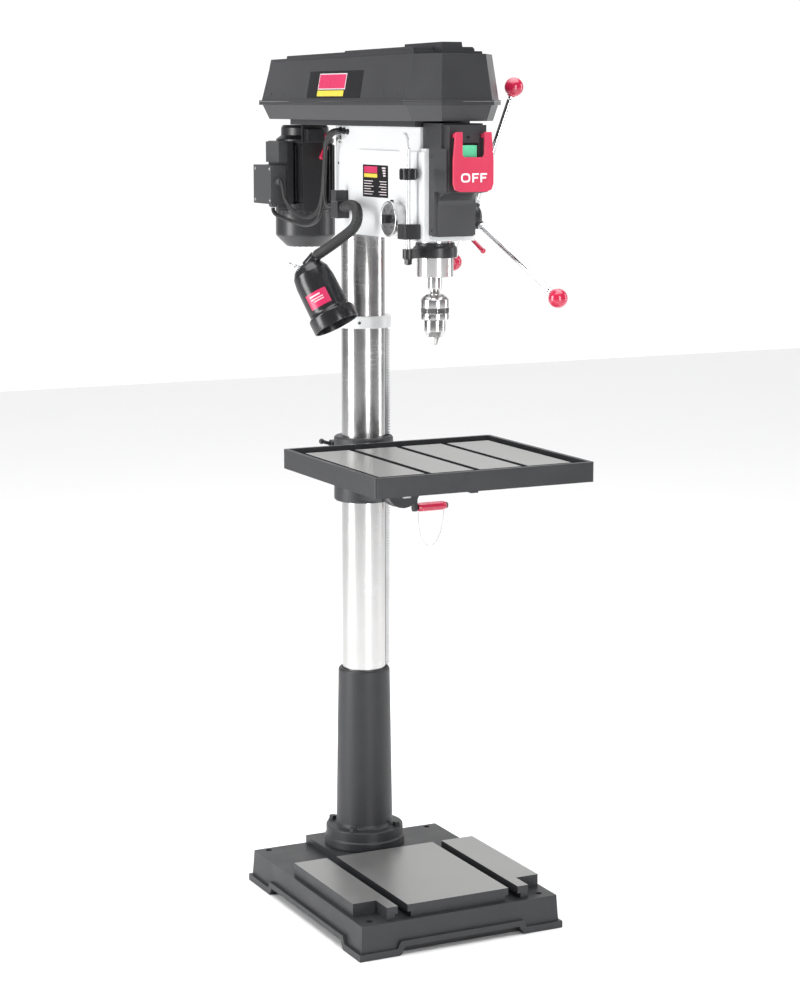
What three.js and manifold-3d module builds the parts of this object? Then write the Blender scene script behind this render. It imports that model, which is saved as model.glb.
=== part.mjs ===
// Floor-standing drill press: cast base, sleeve and steel column, rack-lifted table, belt-driven
// head with quill, keyed chuck, three-handle feed, belt guard, rear motor, switch and work lamp.
// Millimetres, +Z up, front of the machine towards -Y. The column stands on x = 0, y = 0 and the
// whole model is shifted at the end so that its box stands centred on the origin.
import * as THREE from 'three';
import { mergeVertices } from 'three/addons/utils/BufferGeometryUtils.js';
import Module from 'manifold-3d';

const wasm = await Module();
wasm.setup();

// ---- driving dimensions ----
const GAP = 0.3;
const FINE = 28;
const ROUND = 20;
const SMALL = 16;
const TINY = 10;
const COLUMN = { radius: 46, wall: 5, top: 1602 };
const BASE = { half: 220, front: -452, rear: 94, top: 68, lip: 9.5, pad: 85, bars: 95 };
const SLEEVE = { flange: 86, top: 475, foot: BASE.pad + GAP };
const COLLAR = { radius: 59, low: 1205, high: 1230 };
const TABLE = { half: 237.4, front: -551.7, rear: -120.3, low: 937.6, rim: 976.6, top: 972 };
const TILT = { z: 885, face: -170.3, boltHead: 17 };
const BRACKET = { radius: 62.5, low: 838, high: 975 };
const CRANK = { y: -23, z: 885, arm: 70, reach: 187 };
const HEAD = { half: 51, proud: 55, front: -391, rear: 58, low: 1403, top: 1621.2 };
const SPINDLE_Y = -330;
const QUILL = { radius: 36, low: 1331, top: 1560 };
const DEPTH = { x: -74, y: -360, rod: 4.5 };
const PINION = { y: -284, z: 1443, radius: 9 };
const HANDLE = { hub: 104, length: 269, tilt: 17.5, phase: 5.7, rod: 5.5, knob: 19 };
const GUARD = {
  half: 102, front: -462, rear: 372, nose: 55, chamferY: 60, rearChamferX: 54, rearChamferY: 75, seam: 1670 };
const IDLER_Y = -80;
const MOTOR = { y: 294, radius: 65, low: 1358, cowl: 1439.7, body: 1440, bell: 1598, top: 1620 };
const STEP = { floor: 1642, height: 14, groove: 8 };
const SPINDLE_STEPS = [76, 64, 52, 40];
const IDLER_STEPS = [40, 52, 64, 76];
const MOTOR_STEPS = [54, 44, 34, 24];

// ---- materials ----
function finish(color, roughness, metalness) {
  return new THREE.MeshStandardMaterial({ color, roughness, metalness });
}
const castIron = finish(0x26282a, 0.6, 0.2);
const groundSteel = finish(0xb9babb, 0.28, 1.0);
const headPaint = finish(0xd9dadb, 0.45, 0.0);
const blackPlastic = finish(0x2b2c2f, 0.42, 0.0);
const blackPaint = finish(0x1c1d20, 0.4, 0.1);
const redPlastic = finish(0xc01c3a, 0.35, 0.0);
const greenPlastic = finish(0x35b57a, 0.4, 0.0);
const chrome = finish(0xd4d6d8, 0.12, 1.0);
const rubber = finish(0x1a1a1b, 0.7, 0.0);
const alloy = finish(0xa9acae, 0.45, 0.9);
const bulbGlass = finish(0xf2f0ea, 0.2, 0.0);

// ---- solids ----
function signedVolume(position, index) {
  const [a, b, c] = [new THREE.Vector3(), new THREE.Vector3(), new THREE.Vector3()];
  let six = 0;
  for (let i = 0; i < index.length; i += 3) {
    a.fromBufferAttribute(position, index[i]);
    b.fromBufferAttribute(position, index[i + 1]);
    c.fromBufferAttribute(position, index[i + 2]);
    six += a.dot(b.cross(c));
  }
  return six;
}

// A closed three.js geometry as a solid that can be joined and cut, faces turned outwards.
function solid(geometry) {
  const bare = geometry.index ? geometry.clone() : geometry;
  bare.deleteAttribute('normal');
  bare.deleteAttribute('uv');
  const merged = mergeVertices(bare, 1e-4);
  const kept = [];
  const index = merged.index.array;
  for (let i = 0; i < index.length; i += 3) {
    const [a, b, c] = [index[i], index[i + 1], index[i + 2]];
    if (a !== b && b !== c && c !== a) kept.push(a, b, c);
  }
  if (signedVolume(merged.attributes.position, kept) < 0) kept.reverse();
  const vertProperties = new Float32Array(merged.attributes.position.array);
  const triVerts = new Uint32Array(kept);
  return new wasm.Manifold(new wasm.Mesh({ numProp: 3, vertProperties, triVerts }));
}

function box(x0, x1, y0, y1, z0, z1) {
  const geometry = new THREE.BoxGeometry(x1 - x0, y1 - y0, z1 - z0);
  geometry.translate((x0 + x1) / 2, (y0 + y1) / 2, (z0 + z1) / 2);
  return solid(geometry);
}

// A profile of [radius, height] points turned round the vertical axis at (x, y).
function turned(profile, x = 0, y = 0, sides = ROUND) {
  const points = profile.map(([r, z]) => new THREE.Vector2(r, z));
  const geometry = new THREE.LatheGeometry(points, sides);
  geometry.rotateX(Math.PI / 2);
  geometry.translate(x, y, 0);
  return solid(geometry);
}

function ring(inner, outer, z0, z1, x = 0, y = 0, sides = ROUND) {
  const profile = [[inner, z0], [outer, z0], [outer, z1], [inner, z1], [inner, z0]];
  return turned(profile, x, y, sides);
}

function post(radius, z0, z1, x = 0, y = 0, sides = ROUND) {
  return turned([[0, z0], [radius, z0], [radius, z1], [0, z1]], x, y, sides);
}

// A profile of [radius, x] points turned round an axis along X at (y, z).
function turnedX(profile, y, z, sides = ROUND) {
  const points = profile.map(([r, x]) => new THREE.Vector2(r, x));
  const geometry = new THREE.LatheGeometry(points, sides);
  geometry.rotateZ(-Math.PI / 2);
  geometry.translate(0, y, z);
  return solid(geometry);
}

function barX(radius, x0, x1, y, z, sides = ROUND) {
  return turnedX([[0, x0], [radius, x0], [radius, x1], [0, x1]], y, z, sides);
}

function barY(radius, y0, y1, x, z, sides = ROUND) {
  const geometry = new THREE.CylinderGeometry(radius, radius, y1 - y0, sides);
  geometry.translate(x, (y0 + y1) / 2, z);
  return solid(geometry);
}

// A round bar between two points.
function bar(from, to, radius, sides = TINY) {
  const [a, b] = [new THREE.Vector3(...from), new THREE.Vector3(...to)];
  const along = b.clone().sub(a);
  const geometry = new THREE.CylinderGeometry(radius, radius, along.length(), sides);
  geometry.applyQuaternion(
    new THREE.Quaternion().setFromUnitVectors(new THREE.Vector3(0, 1, 0), along.normalize()));
  const middle = a.add(b).multiplyScalar(0.5);
  geometry.translate(middle.x, middle.y, middle.z);
  return solid(geometry);
}

function ball(radius, x, y, z, sides = SMALL) {
  const geometry = new THREE.SphereGeometry(radius, sides, Math.round(sides * 0.6));
  geometry.translate(x, y, z);
  return solid(geometry);
}

// An outline swept along an axis: (x, y) along z, (y, z) along x, (x, z) along y.
function prism(axis, outline, from, to) {
  const shape = new THREE.Shape(outline.map(([u, v]) => new THREE.Vector2(u, v)));
  const geometry = new THREE.ExtrudeGeometry(shape, { depth: to - from, bevelEnabled: false });
  const start = axis === 'y' ? -to : from;
  geometry.translate(0, 0, start);
  const [x, y, z] = [new THREE.Vector3(1, 0, 0), new THREE.Vector3(0, 1, 0), new THREE.Vector3(0, 0, 1)];
  const turn = new THREE.Matrix4();
  if (axis === 'x') turn.makeBasis(y, z, x);
  if (axis === 'y') turn.makeBasis(x, z, y.negate());
  geometry.applyMatrix4(turn);
  return solid(geometry);
}

// Convex rings of [x, y, z] points with equal counts, anticlockwise from above, bottom first.
function loft(rings) {
  const count = rings[0].length;
  const index = [];
  for (let level = 0; level + 1 < rings.length; level += 1) {
    for (let i = 0; i < count; i += 1) {
      const [a, b] = [level * count + i, level * count + (i + 1) % count];
      index.push(a, b, b + count, a, b + count, a + count);
    }
  }
  const last = (rings.length - 1) * count;
  for (let i = 1; i + 1 < count; i += 1) {
    index.push(0, i + 1, i);
    index.push(last, last + i, last + i + 1);
  }
  const geometry = new THREE.BufferGeometry();
  geometry.setAttribute('position', new THREE.Float32BufferAttribute(rings.flat(2), 3));
  geometry.setIndex(index);
  return solid(geometry);
}

function rectangle(x0, x1, y0, y1, z) {
  return [[x0, y0, z], [x1, y0, z], [x1, y1, z], [x0, y1, z]];
}

function tube(route, radius, steps, sides = 8) {
  const points = route.map((p) => new THREE.Vector3(...p));
  const path = new THREE.CatmullRomCurve3(points);
  const section = new THREE.Shape();
  for (let i = 0; i < sides; i += 1) {
    const turn = (i / sides) * 2 * Math.PI;
    const [u, v] = [radius * Math.cos(turn), radius * Math.sin(turn)];
    if (i === 0) section.moveTo(u, v);
    else section.lineTo(u, v);
  }
  return solid(new THREE.ExtrudeGeometry(section, { steps, extrudePath: path }));
}

function join(...solids) {
  return solids.reduce((whole, next) => whole.add(next));
}

function cut(whole, ...tools) {
  return tools.reduce((left, tool) => left.subtract(tool), whole);
}

// ---- scene graph ----
const group = new THREE.Group();

function piece(name, shape, material, parent = group) {
  const { numProp, vertProperties, triVerts } = shape.getMesh();
  const geometry = new THREE.BufferGeometry();
  const places = [];
  for (let i = 0; i < vertProperties.length; i += numProp) {
    places.push(vertProperties[i], vertProperties[i + 1], vertProperties[i + 2]);
  }
  geometry.setAttribute('position', new THREE.Float32BufferAttribute(places, 3));
  geometry.setIndex([...triVerts]);
  const mesh = new THREE.Mesh(geometry, material);
  mesh.name = name;
  parent.add(mesh);
  return mesh;
}

function assembly(x, y, z) {
  const part = new THREE.Group();
  part.position.set(x, y, z);
  group.add(part);
  return part;
}

// ---- base, sleeve and column ----
function makeBase() {
  const { half, front, rear, top, lip, pad, bars } = BASE;
  let body = join(
    loft([
      rectangle(-half - 4, half + 4, front - 4, rear + 4, 0),
      rectangle(-half, half, front, rear, top)]),
    box(-half - lip, half + lip, front - lip, rear + lip, 0, 14));
  const arch = (low, high, edge, z) => [[low, -1], [high, -1], [high - edge, z], [low + edge, z]];
  const lifted = [[-153, 0], [153, 0], [139, 29], [-139, 29]];
  const side = [[-394, 0], [4, 0], [-10, 29], [-380, 29]];
  body = join(body,
    prism('y', lifted, front - lip, front + 3),
    prism('y', lifted, rear - 3, rear + lip),
    prism('x', side, -half - lip, -half + 3),
    prism('x', side, half - 3, half + lip));
  body = cut(body,
    prism('y', arch(-141, 141, 12, 17), front - lip - 1, front + 12),
    prism('y', arch(-141, 141, 12, 17), rear - 12, rear + lip + 1),
    prism('x', arch(-382, -8, 12, 17), -half - lip - 1, -half + 12),
    prism('x', arch(-382, -8, 12, 17), half - 12, half + lip + 1));
  const cellX = [[-206, -72], [-66, 66], [72, 206]];
  const cellY = [[-438, -313], [-307, -183], [-177, -53], [-47, 80]];
  for (const [x0, x1] of cellX) {
    for (const [y0, y1] of cellY) body = cut(body, box(x0, x1, y0, y1, -1, 57));
  }
  const under = 80;
  const outerBar = (s) => [
    [211 * s, 60], [143 * s, 60], [143 * s, under], [136 * s, under], [136 * s, bars], [211 * s, bars]];
  const middleBar = [
    [-107, 60], [107, 60], [107, under], [114, under], [114, bars],
    [-114, bars], [-114, under], [-107, under]];
  body = join(body, box(-98, 98, -102, 93, 60, pad), prism('y', middleBar, -440, -101));
  for (const s of [-1, 1]) {
    const notch = s < 0 ? box(-230, -160, -441, -390, top, 100) : box(160, 230, -441, -390, top, 100);
    body = join(body, cut(prism('y', outerBar(s), -440, -101), notch));
    body = cut(body, post(7, -1, 100, 192 * s, 80, TINY), post(7, -1, 100, 192 * s, -427, TINY));
  }
  for (const [x, y] of flangeHoles()) body = cut(body, post(5, 50, 90, x, y, TINY));
  return body;
}

function flangeHoles() {
  const reach = 73 * Math.SQRT1_2;
  return [[reach, reach], [-reach, reach], [-reach, -reach], [reach, -reach]];
}

function makeSleeve() {
  const { flange, top, foot } = SLEEVE;
  const bore = COLUMN.radius + GAP;
  let body = turned([
    [bore, foot], [flange, foot], [flange, foot + 18], [flange - 3, foot + 19.5], [flange - 3, foot + 41],
    [64, foot + 43], [60.5, foot + 49], [55, top - 4], [52, top], [bore, top], [bore, foot]], 0, 0, FINE);
  for (const [x, y] of flangeHoles()) body = cut(body, post(6, 80, 135, x, y, TINY));
  return body;
}

piece('base_casting', makeBase(), castIron);
piece('column_sleeve', makeSleeve(), castIron);
const tubeFoot = BASE.pad + 2 * GAP;
piece('column_tube', ring(COLUMN.radius - COLUMN.wall, COLUMN.radius, tubeFoot, COLUMN.top, 0, 0, FINE),
  groundSteel);
piece('column_collar', ring(COLUMN.radius + GAP, COLLAR.radius, COLLAR.low, COLLAR.high, 0, 0, FINE),
  headPaint);

// ---- table, its bracket, rack and crank ----
const RACK = { face: 57, half: 11, low: SLEEVE.top + GAP, high: COLLAR.low - GAP };

function makeBracket() {
  const { radius, low, high } = BRACKET;
  const body = join(
    turned([
      [0, low], [radius - 3, low], [radius, low + 3], [radius, high - 3], [radius - 3, high], [0, high]],
      0, 0, FINE),
    box(-22, 22, 50, 96, 852, 964),
    prism('x', [[-40, 846], [-158, 858], [-158, 912], [-40, 930]], -34, 34),
    barY(38, -170, -154, 0, TILT.z, ROUND),
    box(40, 100, -45, 20, 862, 930));
  return cut(body,
    post(COLUMN.radius + 0.4, low - 1, high + 1, 0, 0, FINE),
    box(40, RACK.face + 0.6, -RACK.half - 0.6, RACK.half + 0.6, low - 1, high + 1),
    box(-2, 2, 40, 97, low - 1, high + 1),
    barX(6.5, -30, 30, 78, 948, TINY),
    barX(9.1, 63, 101, CRANK.y, CRANK.z, SMALL),
    barY(10.3, -171, -140, 0, TILT.z, SMALL));
}

function makeTable() {
  const { half, front, rear, low, rim, top } = TABLE;
  const [wall, gutter] = [9.4, 957];
  let body = cut(box(-half, half, front, rear, low, rim),
    box(-half + wall, half - wall, front + wall, rear - wall, gutter, rim + 1));
  body = join(body, box(-209, 209, -510, -166, 950, top));
  for (const x of [-105, 0, 105]) {
    body = cut(body,
      box(x - 7, x + 7, -511, -165, 963, top + 1),
      box(x - 12, x + 12, -511, -165, 956.9, 963.1));
  }
  for (const [x0, x1] of [[-226, -80], [-72, 72], [80, 226]]) {
    for (const [y0, y1] of [[-540, -410], [-402, -272], [-264, -132]]) {
      body = cut(body, box(x0, x1, y0, y1, low - 1, 948));
    }
  }
  body = join(body,
    barY(37, -194, TILT.face, 0, TILT.z, ROUND),
    box(-34, 34, -230, TILT.face, TILT.z + TILT.boltHead + 2 * GAP, 949),
    box(-8, 8, -500, -200, 925, 949));
  return cut(body, barY(10.3, -231, -169, 0, TILT.z, SMALL));
}

function makeTiltBolt() {
  const shank = barY(10, -196, -142, 0, TILT.z, SMALL);
  const head = [];
  for (let i = 0; i < 6; i += 1) {
    const turn = (i * Math.PI) / 3;
    head.push([TILT.boltHead * Math.cos(turn), TILT.z + TILT.boltHead * Math.sin(turn)]);
  }
  return join(shank, prism('y', head, -208, -194 - GAP));
}

piece('table_rack', box(COLUMN.radius + 0.6, RACK.face, -RACK.half, RACK.half, RACK.low, RACK.high), alloy);
piece('table_bracket', makeBracket(), castIron);
piece('table_casting', makeTable(), castIron);
piece('tilt_bolt', makeTiltBolt(), chrome);
piece('table_lock_lever', join(
  barX(6, -25, 34, 78, 948, TINY), barX(10, -42, -22 - GAP, 78, 948, TINY),
  bar([-36, 78, 948], [-60, 82, 955], 4, TINY), ball(6, -60, 82, 955, TINY)), blackPaint);

const crank = assembly(0, CRANK.y, CRANK.z);
const gripZ = -CRANK.arm;
const armOutline = [
  [-12, 0], [-8, -9], [-7, gripZ - 3], [-4, gripZ - 8], [4, gripZ - 8], [7, gripZ - 3], [8, -9], [12, 0],
  [9, 9], [0, 13], [-9, 9]];
piece('crank_arm', join(
  barX(8.8, 66, 106, 0, 0, SMALL), barX(13, 101, 106, 0, 0, SMALL), prism('x', armOutline, 105, 113),
  barX(4.5, 112, CRANK.reach - 2, 0, gripZ, TINY), barX(7, CRANK.reach - 3, CRANK.reach, 0, gripZ, TINY)),
  blackPaint, crank);
piece('crank_grip', turnedX([
  [5, 116], [8, 116], [9.5, 121], [10, 150], [9, 178], [7.5, 183.5], [5, 183.5], [5, 116]], 0, gripZ, SMALL),
  redPlastic, crank);
piece('crank_chain', tube([
  [118.5, 0, gripZ - 10.6], [119.5, 0, gripZ - 38], [128, 0, gripZ - 70], [146, 0, gripZ - 86],
  [165, 0, gripZ - 72], [176, 0, gripZ - 40], [180, 0, gripZ - 10.6]], 1.5, 16), chrome, crank);

// ---- head casting, front cover and switch ----
function makeHead() {
  const { half, proud, front, rear, low, top } = HEAD;
  const corner = 45;
  const outline = [[-half, front], [half, front]];
  for (let i = 0; i <= 6; i += 1) {
    const turn = (i * Math.PI) / 12;
    outline.push([half - corner + corner * Math.cos(turn), rear - corner + corner * Math.sin(turn)]);
  }
  for (let i = 6; i >= 0; i -= 1) {
    const turn = (i * Math.PI) / 12;
    outline.push([corner - half - corner * Math.cos(turn), rear - corner + corner * Math.sin(turn)]);
  }
  const panel = [
    [-42, low], [-42, 1491], [-60, 1545], [-76, 1567], [-96, 1574], [-283, 1574], [-284, 1598],
    [-293, 1608], [-307, 1608], [-316, 1598], [-317, 1574], [front, 1574], [front, low]];
  const body = join(
    prism('z', outline, low, top),
    prism('x', panel, -proud, -half + 1),
    prism('x', panel, half - 1, proud),
    barX(33, half - 1, 62, PINION.y, PINION.z, ROUND));
  const hollow = cut(body,
    post(COLUMN.radius + 0.4, low - 1, COLUMN.top + 1, 0, 0, FINE),
    post(QUILL.radius + 0.4, low - 1, 1600, 0, SPINDLE_Y, FINE),
    post(30, 1599, top + 1, 0, SPINDLE_Y, ROUND),
    box(-42, 42, -240, -65, low - 1, 1598),
    barX(PINION.radius + 0.4, -70, 70, PINION.y, PINION.z, SMALL),
    box(-60, 60, front - 1, -366 + GAP, 1581 - GAP, top + 1));
  // the post that the idler pulley turns on stands on the casting
  return join(hollow, post(8, top - 5, 1702, 0, IDLER_Y, SMALL));
}

function makeFrontCover() {
  const face = HEAD.front - GAP;
  const lower = [
    [face, 1413], [-416, 1413], [-416, 1472], [-419, 1482], [-428, 1490], [-442, 1496], [-465, 1499],
    [-465, 1510], [face, 1510]];
  const body = join(
    box(-45, 45, -413, face, 1415, 1500),
    box(-45, 45, -462, face, 1499, 1582),
    box(-45, 45, -441, -366, 1581, 1629),
    box(-40, 40, -465, -400, 1499, 1626),
    prism('x', lower, -39, 39));
  return cut(body,
    box(-36, 36, -411, face + 1, 1420, 1576),
    box(-34, 34, -455, -400, 1512, 1618),
    box(-17, 17, -466, -450, 1565.5, 1588.5));
}

function makePaddle() {
  const outline = [
    [-42.5, 1516], [-38.5, 1505], [-28, 1501], [28, 1501], [38.5, 1505], [42.5, 1516], [42.5, 1560],
    [38, 1613], [24, 1613], [24, 1571], [20, 1566], [-20, 1566], [-24, 1571], [-24, 1613], [-38, 1613],
    [-42.5, 1560]];
  return join(prism('y', outline, -490, -484),
    box(-33, -27, -485, -466, 1602, 1610),
    box(27, 33, -485, -466, 1602, 1610));
}

piece('head_casting', makeHead(), headPaint);
piece('front_cover', makeFrontCover(), blackPlastic);
piece('stop_paddle', makePaddle(), redPlastic);
const buttonFlange = box(-24, 24, -454.6, -446, 1560, 1594);
piece('start_button', join(box(-16.5, 16.5, -471, -450, 1566, 1588), buttonFlange), greenPlastic);

// ---- belt guard ----
// The guard's eight-cornered outline, drawn in by inset, lying at a height that may rise to the front.
function guardRing(inset, z, rise = 0) {
  const { half, front, rear, nose, chamferY, rearChamferX, rearChamferY } = GUARD;
  const [x, y0, y1] = [half - inset, front + 0.8 * inset, rear - inset];
  const [frontX, rearX, corner] = [nose - inset / 2, x - rearChamferX, front + chamferY];
  const corners = [
    [frontX, y0], [x, corner], [x, y1 - rearChamferY], [rearX, y1],
    [-rearX, y1], [-x, y1 - rearChamferY], [-x, corner], [-frontX, y0]];
  return corners.map(([u, v]) => [u, v, z + (rise * (rear - v)) / (rear - front)]);
}

function slopedBlock(halfWidth, front, rear, low, high, rise, draft) {
  const lift = (y) => (rise * (GUARD.rear - y)) / (GUARD.rear - GUARD.front);
  const upper = rectangle(-halfWidth + draft, halfWidth - draft, front + draft, rear - draft, high);
  return loft([
    rectangle(-halfWidth, halfWidth, front, rear, low),
    upper.map(([x, y, z]) => [x, y, z + lift(y)])]);
}

function makeTray() {
  const { seam } = GUARD;
  const rails = cut(box(-60, 60, -360, 236, HEAD.top + GAP, 1636), box(-42, 42, -16, 237, 1620, 1632.8));
  const body = cut(join(
    loft([guardRing(14, 1633), guardRing(1, 1668)]),
    loft([guardRing(-3, 1663), guardRing(-3, seam)]),
    rails), loft([guardRing(17.5, 1637), guardRing(4, seam + 1)]));
  return cut(body,
    post(31, 1615, 1640, 0, SPINDLE_Y, ROUND),
    post(9.5, 1615, 1640, 0, IDLER_Y, SMALL),
    box(-13, 13, MOTOR.y - 27, MOTOR.y + 14, 1615, 1640));
}

function makeLid() {
  const foot = GUARD.seam + GAP;
  const rise = 8;
  const shell = join(
    loft([guardRing(1, foot), guardRing(17, 1751.5, rise)]),
    loft([guardRing(-3, foot), guardRing(-3, foot + 2.5)]),
    slopedBlock(77, -385, 308, 1740, 1758.5, rise, 3),
    slopedBlock(69, -368, 240, 1740, 1764.5, rise, 3),
    slopedBlock(70, -364, -52, 1740, 1767, rise, 4),
    slopedBlock(25, -403, -234, 1740, 1775, rise, 4));
  return cut(shell,
    loft([guardRing(4, foot - 1), guardRing(19.5, 1748, rise)]),
    slopedBlock(62, -356, 226, 1740, 1757.5, rise, 3));
}

// A cone pulley of [radius] steps, lowest first, with a belt groove on one step.
function conePulley(radii, bore, grooved, y) {
  const { floor, height, groove } = STEP;
  const profile = [[bore, floor]];
  radii.forEach((r, i) => {
    const z = floor + i * height;
    profile.push([r, z]);
    if (i === grooved) profile.push([r, z + 2], [r - groove, z + 2], [r - groove, z + 12], [r, z + 12]);
    profile.push([r, z + height]);
  });
  profile.push([bore, floor + radii.length * height], [bore, floor]);
  return turned(profile, 0, y, ROUND);
}

// A belt round two pulleys of radii a and b centred at ya and yb.
function belt(ya, a, yb, b, step) {
  const lean = Math.acos((a - b) / (yb - ya));
  const loop = (offset) => {
    const points = [];
    for (let i = 0; i <= 16; i += 1) {
      const turn = lean + ((2 * Math.PI - 2 * lean) * i) / 16;
      points.push([(a + offset) * Math.sin(turn), ya + (a + offset) * Math.cos(turn)]);
    }
    for (let i = 0; i <= 16; i += 1) {
      const turn = -lean + (2 * lean * i) / 16;
      points.push([(b + offset) * Math.sin(turn), yb + (b + offset) * Math.cos(turn)]);
    }
    return points;
  };
  const z = STEP.floor + step * STEP.height;
  return cut(prism('z', loop(1.5), z + 2.4, z + 11.6), prism('z', loop(-6.5), z, z + 14));
}

piece('guard_tray', makeTray(), blackPlastic);
piece('guard_lid', makeLid(), blackPlastic);
piece('spindle_pulley', conePulley(SPINDLE_STEPS, 12.4, 2, SPINDLE_Y), alloy);
piece('idler_pulley', cut(conePulley(IDLER_STEPS, 8.3, 2, IDLER_Y),
  ring(IDLER_STEPS[1] - STEP.groove, 90, STEP.floor + 16, STEP.floor + 26, 0, IDLER_Y, ROUND)), alloy);
piece('front_belt', belt(SPINDLE_Y, SPINDLE_STEPS[2], IDLER_Y, IDLER_STEPS[2], 2), rubber);
piece('rear_belt', belt(IDLER_Y, IDLER_STEPS[1], MOTOR.y, MOTOR_STEPS[1], 1), rubber);

// ---- motor, its slide and its boxes ----
const motor = assembly(0, MOTOR.y, 0);
const { radius: motorR, low: motorLow, cowl, body: motorBody, bell, top: motorTop } = MOTOR;
piece('motor_body', cut(join(
  turned([
    [0, motorBody], [motorR, motorBody], [motorR, bell - 8], [52, bell], [52, motorTop], [0, motorTop]],
    0, 0, ROUND),
  box(-30, 6, -motorR - 0.6, -40, 1470, 1580)), post(9.8, 1588, motorTop + 1, 0, 0, SMALL)), blackPaint, motor);
piece('motor_fan_cowl', turned([
  [0, motorLow], [41, motorLow], [motorR, motorLow + 24], [motorR, cowl], [motorR - 3, cowl],
  [motorR - 3, motorLow + 26], [40, motorLow + 3], [0, motorLow + 3]], 0, 0, ROUND), blackPlastic, motor);
piece('motor_shaft', post(9.4, 1590, 1700, 0, 0, SMALL), groundSteel, motor);
piece('motor_pulley', conePulley(MOTOR_STEPS, 9.8, 1, 0), alloy, motor);
piece('motor_mount_plate', join(
  box(-41.4, 41.4, -294, -62, HEAD.top + 0.8, 1632.4),
  box(-38, 11, -72, -66, 1440, 1625),
  box(-33, 6, -90, -70, 1584, 1612)), blackPaint, motor);
piece('tension_lever', join(
  barX(5, 6.4, 14, -84, 1598, TINY),
  bar([10, -84, 1598], [10, -90, 1574], 3.2, TINY),
  bar([10, -90, 1574], [-3, -93, 1548], 6.2, TINY)), redPlastic, motor);
piece('terminal_box', join(box(-102, -65.6, -48, 48, 1452, 1535), barY(7, -56, -47, -84, 1500, TINY),
  post(7, 1445, 1453, -88, -26, TINY)), blackPlastic, motor);
piece('capacitor_cover', box(-86, -65.6, -54, 16, 1541, 1585), blackPlastic, motor);

// ---- leads between the motor, the lamp bracket and the head ----
const leadIn = -HEAD.half - 2 * GAP;
piece('motor_lead', tube([
  [-84, 236.2, 1500], [-84, 230.5, 1498], [-83.5, 224, 1487], [-81, 216, 1462], [-75, 185, 1438],
  [-69, 135, 1428], [-64, 92, 1442],
  [-62, 70, 1472], [-61, 59, 1537], [-61, 52, 1580], [-61, 36, 1603], [-61.5, 10, 1611],
  [-58, -3, 1612], [leadIn, -3.4, 1612]],
  4.2, 22), rubber);
piece('switch_lead', tube([
  [-88, 268, 1443.9], [-88, 266.4, 1437], [-87, 256, 1430], [-84, 235, 1425], [-78, 180, 1417],
  [-74, 118, 1413], [-73, 66, 1428],
  [-72, 44, 1468], [-71, 34, 1530], [-71, 28, 1584], [-70, 8, 1604], [-65, -14, 1610],
  [-58, -20, 1611], [leadIn, -20.4, 1611]],
  4.2, 24), rubber);
piece('lamp_lead', tube([
  [-68, -16.8, 1456], [-68.6, -10, 1455.6], [-71, -3, 1455], [-77, 10, 1458], [-80, 16, 1478],
  [-80, 14, 1540], [-79, 8, 1580],
  [-75, -14, 1602], [-67, -32, 1608], [-58, -37, 1609], [leadIn, -37.4, 1609]], 3, 18), rubber);

// ---- work lamp ----
const LAMP = { top: [-158, -62, 1345], mouth: [-115, -118, 1222], wall: 2.5, body: 41, rim: 48.5, length: 142 };
const goose = [
  [-68, -52, 1456], [-69, -62, 1457.5], [-78, -105, 1463], [-88, -150, 1461], [-95, -174, 1451],
  [-100, -182, 1434], [-107, -175, 1418], [-120, -152, 1400], [-132, -122, 1382], [-138, -94, 1369],
  [-140.6, -81, 1363.2]];
piece('lamp_bracket', join(box(-82, -HEAD.proud - GAP, -50, -18, 1434, 1470),
  box(-84, -HEAD.proud - GAP, -46, -24, 1468, 1491)), blackPlastic);
piece('gooseneck', tube(goose, 11, 20, TINY), rubber);

const lamp = assembly(...LAMP.top);
const lampAxis = new THREE.Vector3(...LAMP.mouth).sub(new THREE.Vector3(...LAMP.top)).normalize();
const down = new THREE.Vector3(0, 0, -1);
lamp.quaternion.setFromUnitVectors(down, lampAxis);
const toLamp = lamp.quaternion.clone().invert();

// A point of the machine in the lamp's own frame.
function inLamp(x, y, z) {
  const p = new THREE.Vector3(x, y, z).sub(new THREE.Vector3(...LAMP.top)).applyQuaternion(toLamp);
  return [p.x, p.y, p.z];
}

const { wall, body: shadeR, rim: rimR, length: shadeL } = LAMP;
const shade = turned([
  [0, 0], [22, -4], [36, -18], [shadeR, -40], [shadeR + 1, -108], [rimR, -112], [rimR, -shadeL],
  [rimR - wall, -shadeL], [rimR - wall, -114], [shadeR - wall + 1, -109], [shadeR - wall, -40],
  [33, -19], [20, -6.5], [0, -3]], 0, 0, ROUND);
const switchAxis = new THREE.Vector3(-0.73, 0.4, 0.56).normalize();
const domeCentre = new THREE.Vector3(...LAMP.top).addScaledVector(lampAxis, 38);
const onSwitch = (reach) => inLamp(...domeCentre.clone().addScaledVector(switchAxis, reach).toArray());
piece('lamp_shade', join(shade, post(14, -26, -2, 0, 0, SMALL),
  cut(ball(13.5, ...inLamp(-143, -68, 1356), TINY), post(60, -80, -4, 0, 0, TINY)),
  bar(onSwitch(37), onSwitch(50), 6.5, TINY)), blackPlastic, lamp);
piece('lamp_bulb', turned([
  [0, -118], [18, -113], [27, -99], [28, -88], [23, -72], [13.5, -56], [12.5, -26.4], [0, -26.4]], 0, 0, ROUND),
  bulbGlass, lamp);
piece('lamp_switch', bar(onSwitch(51), onSwitch(64), 2.4, TINY), chrome, lamp);

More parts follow.
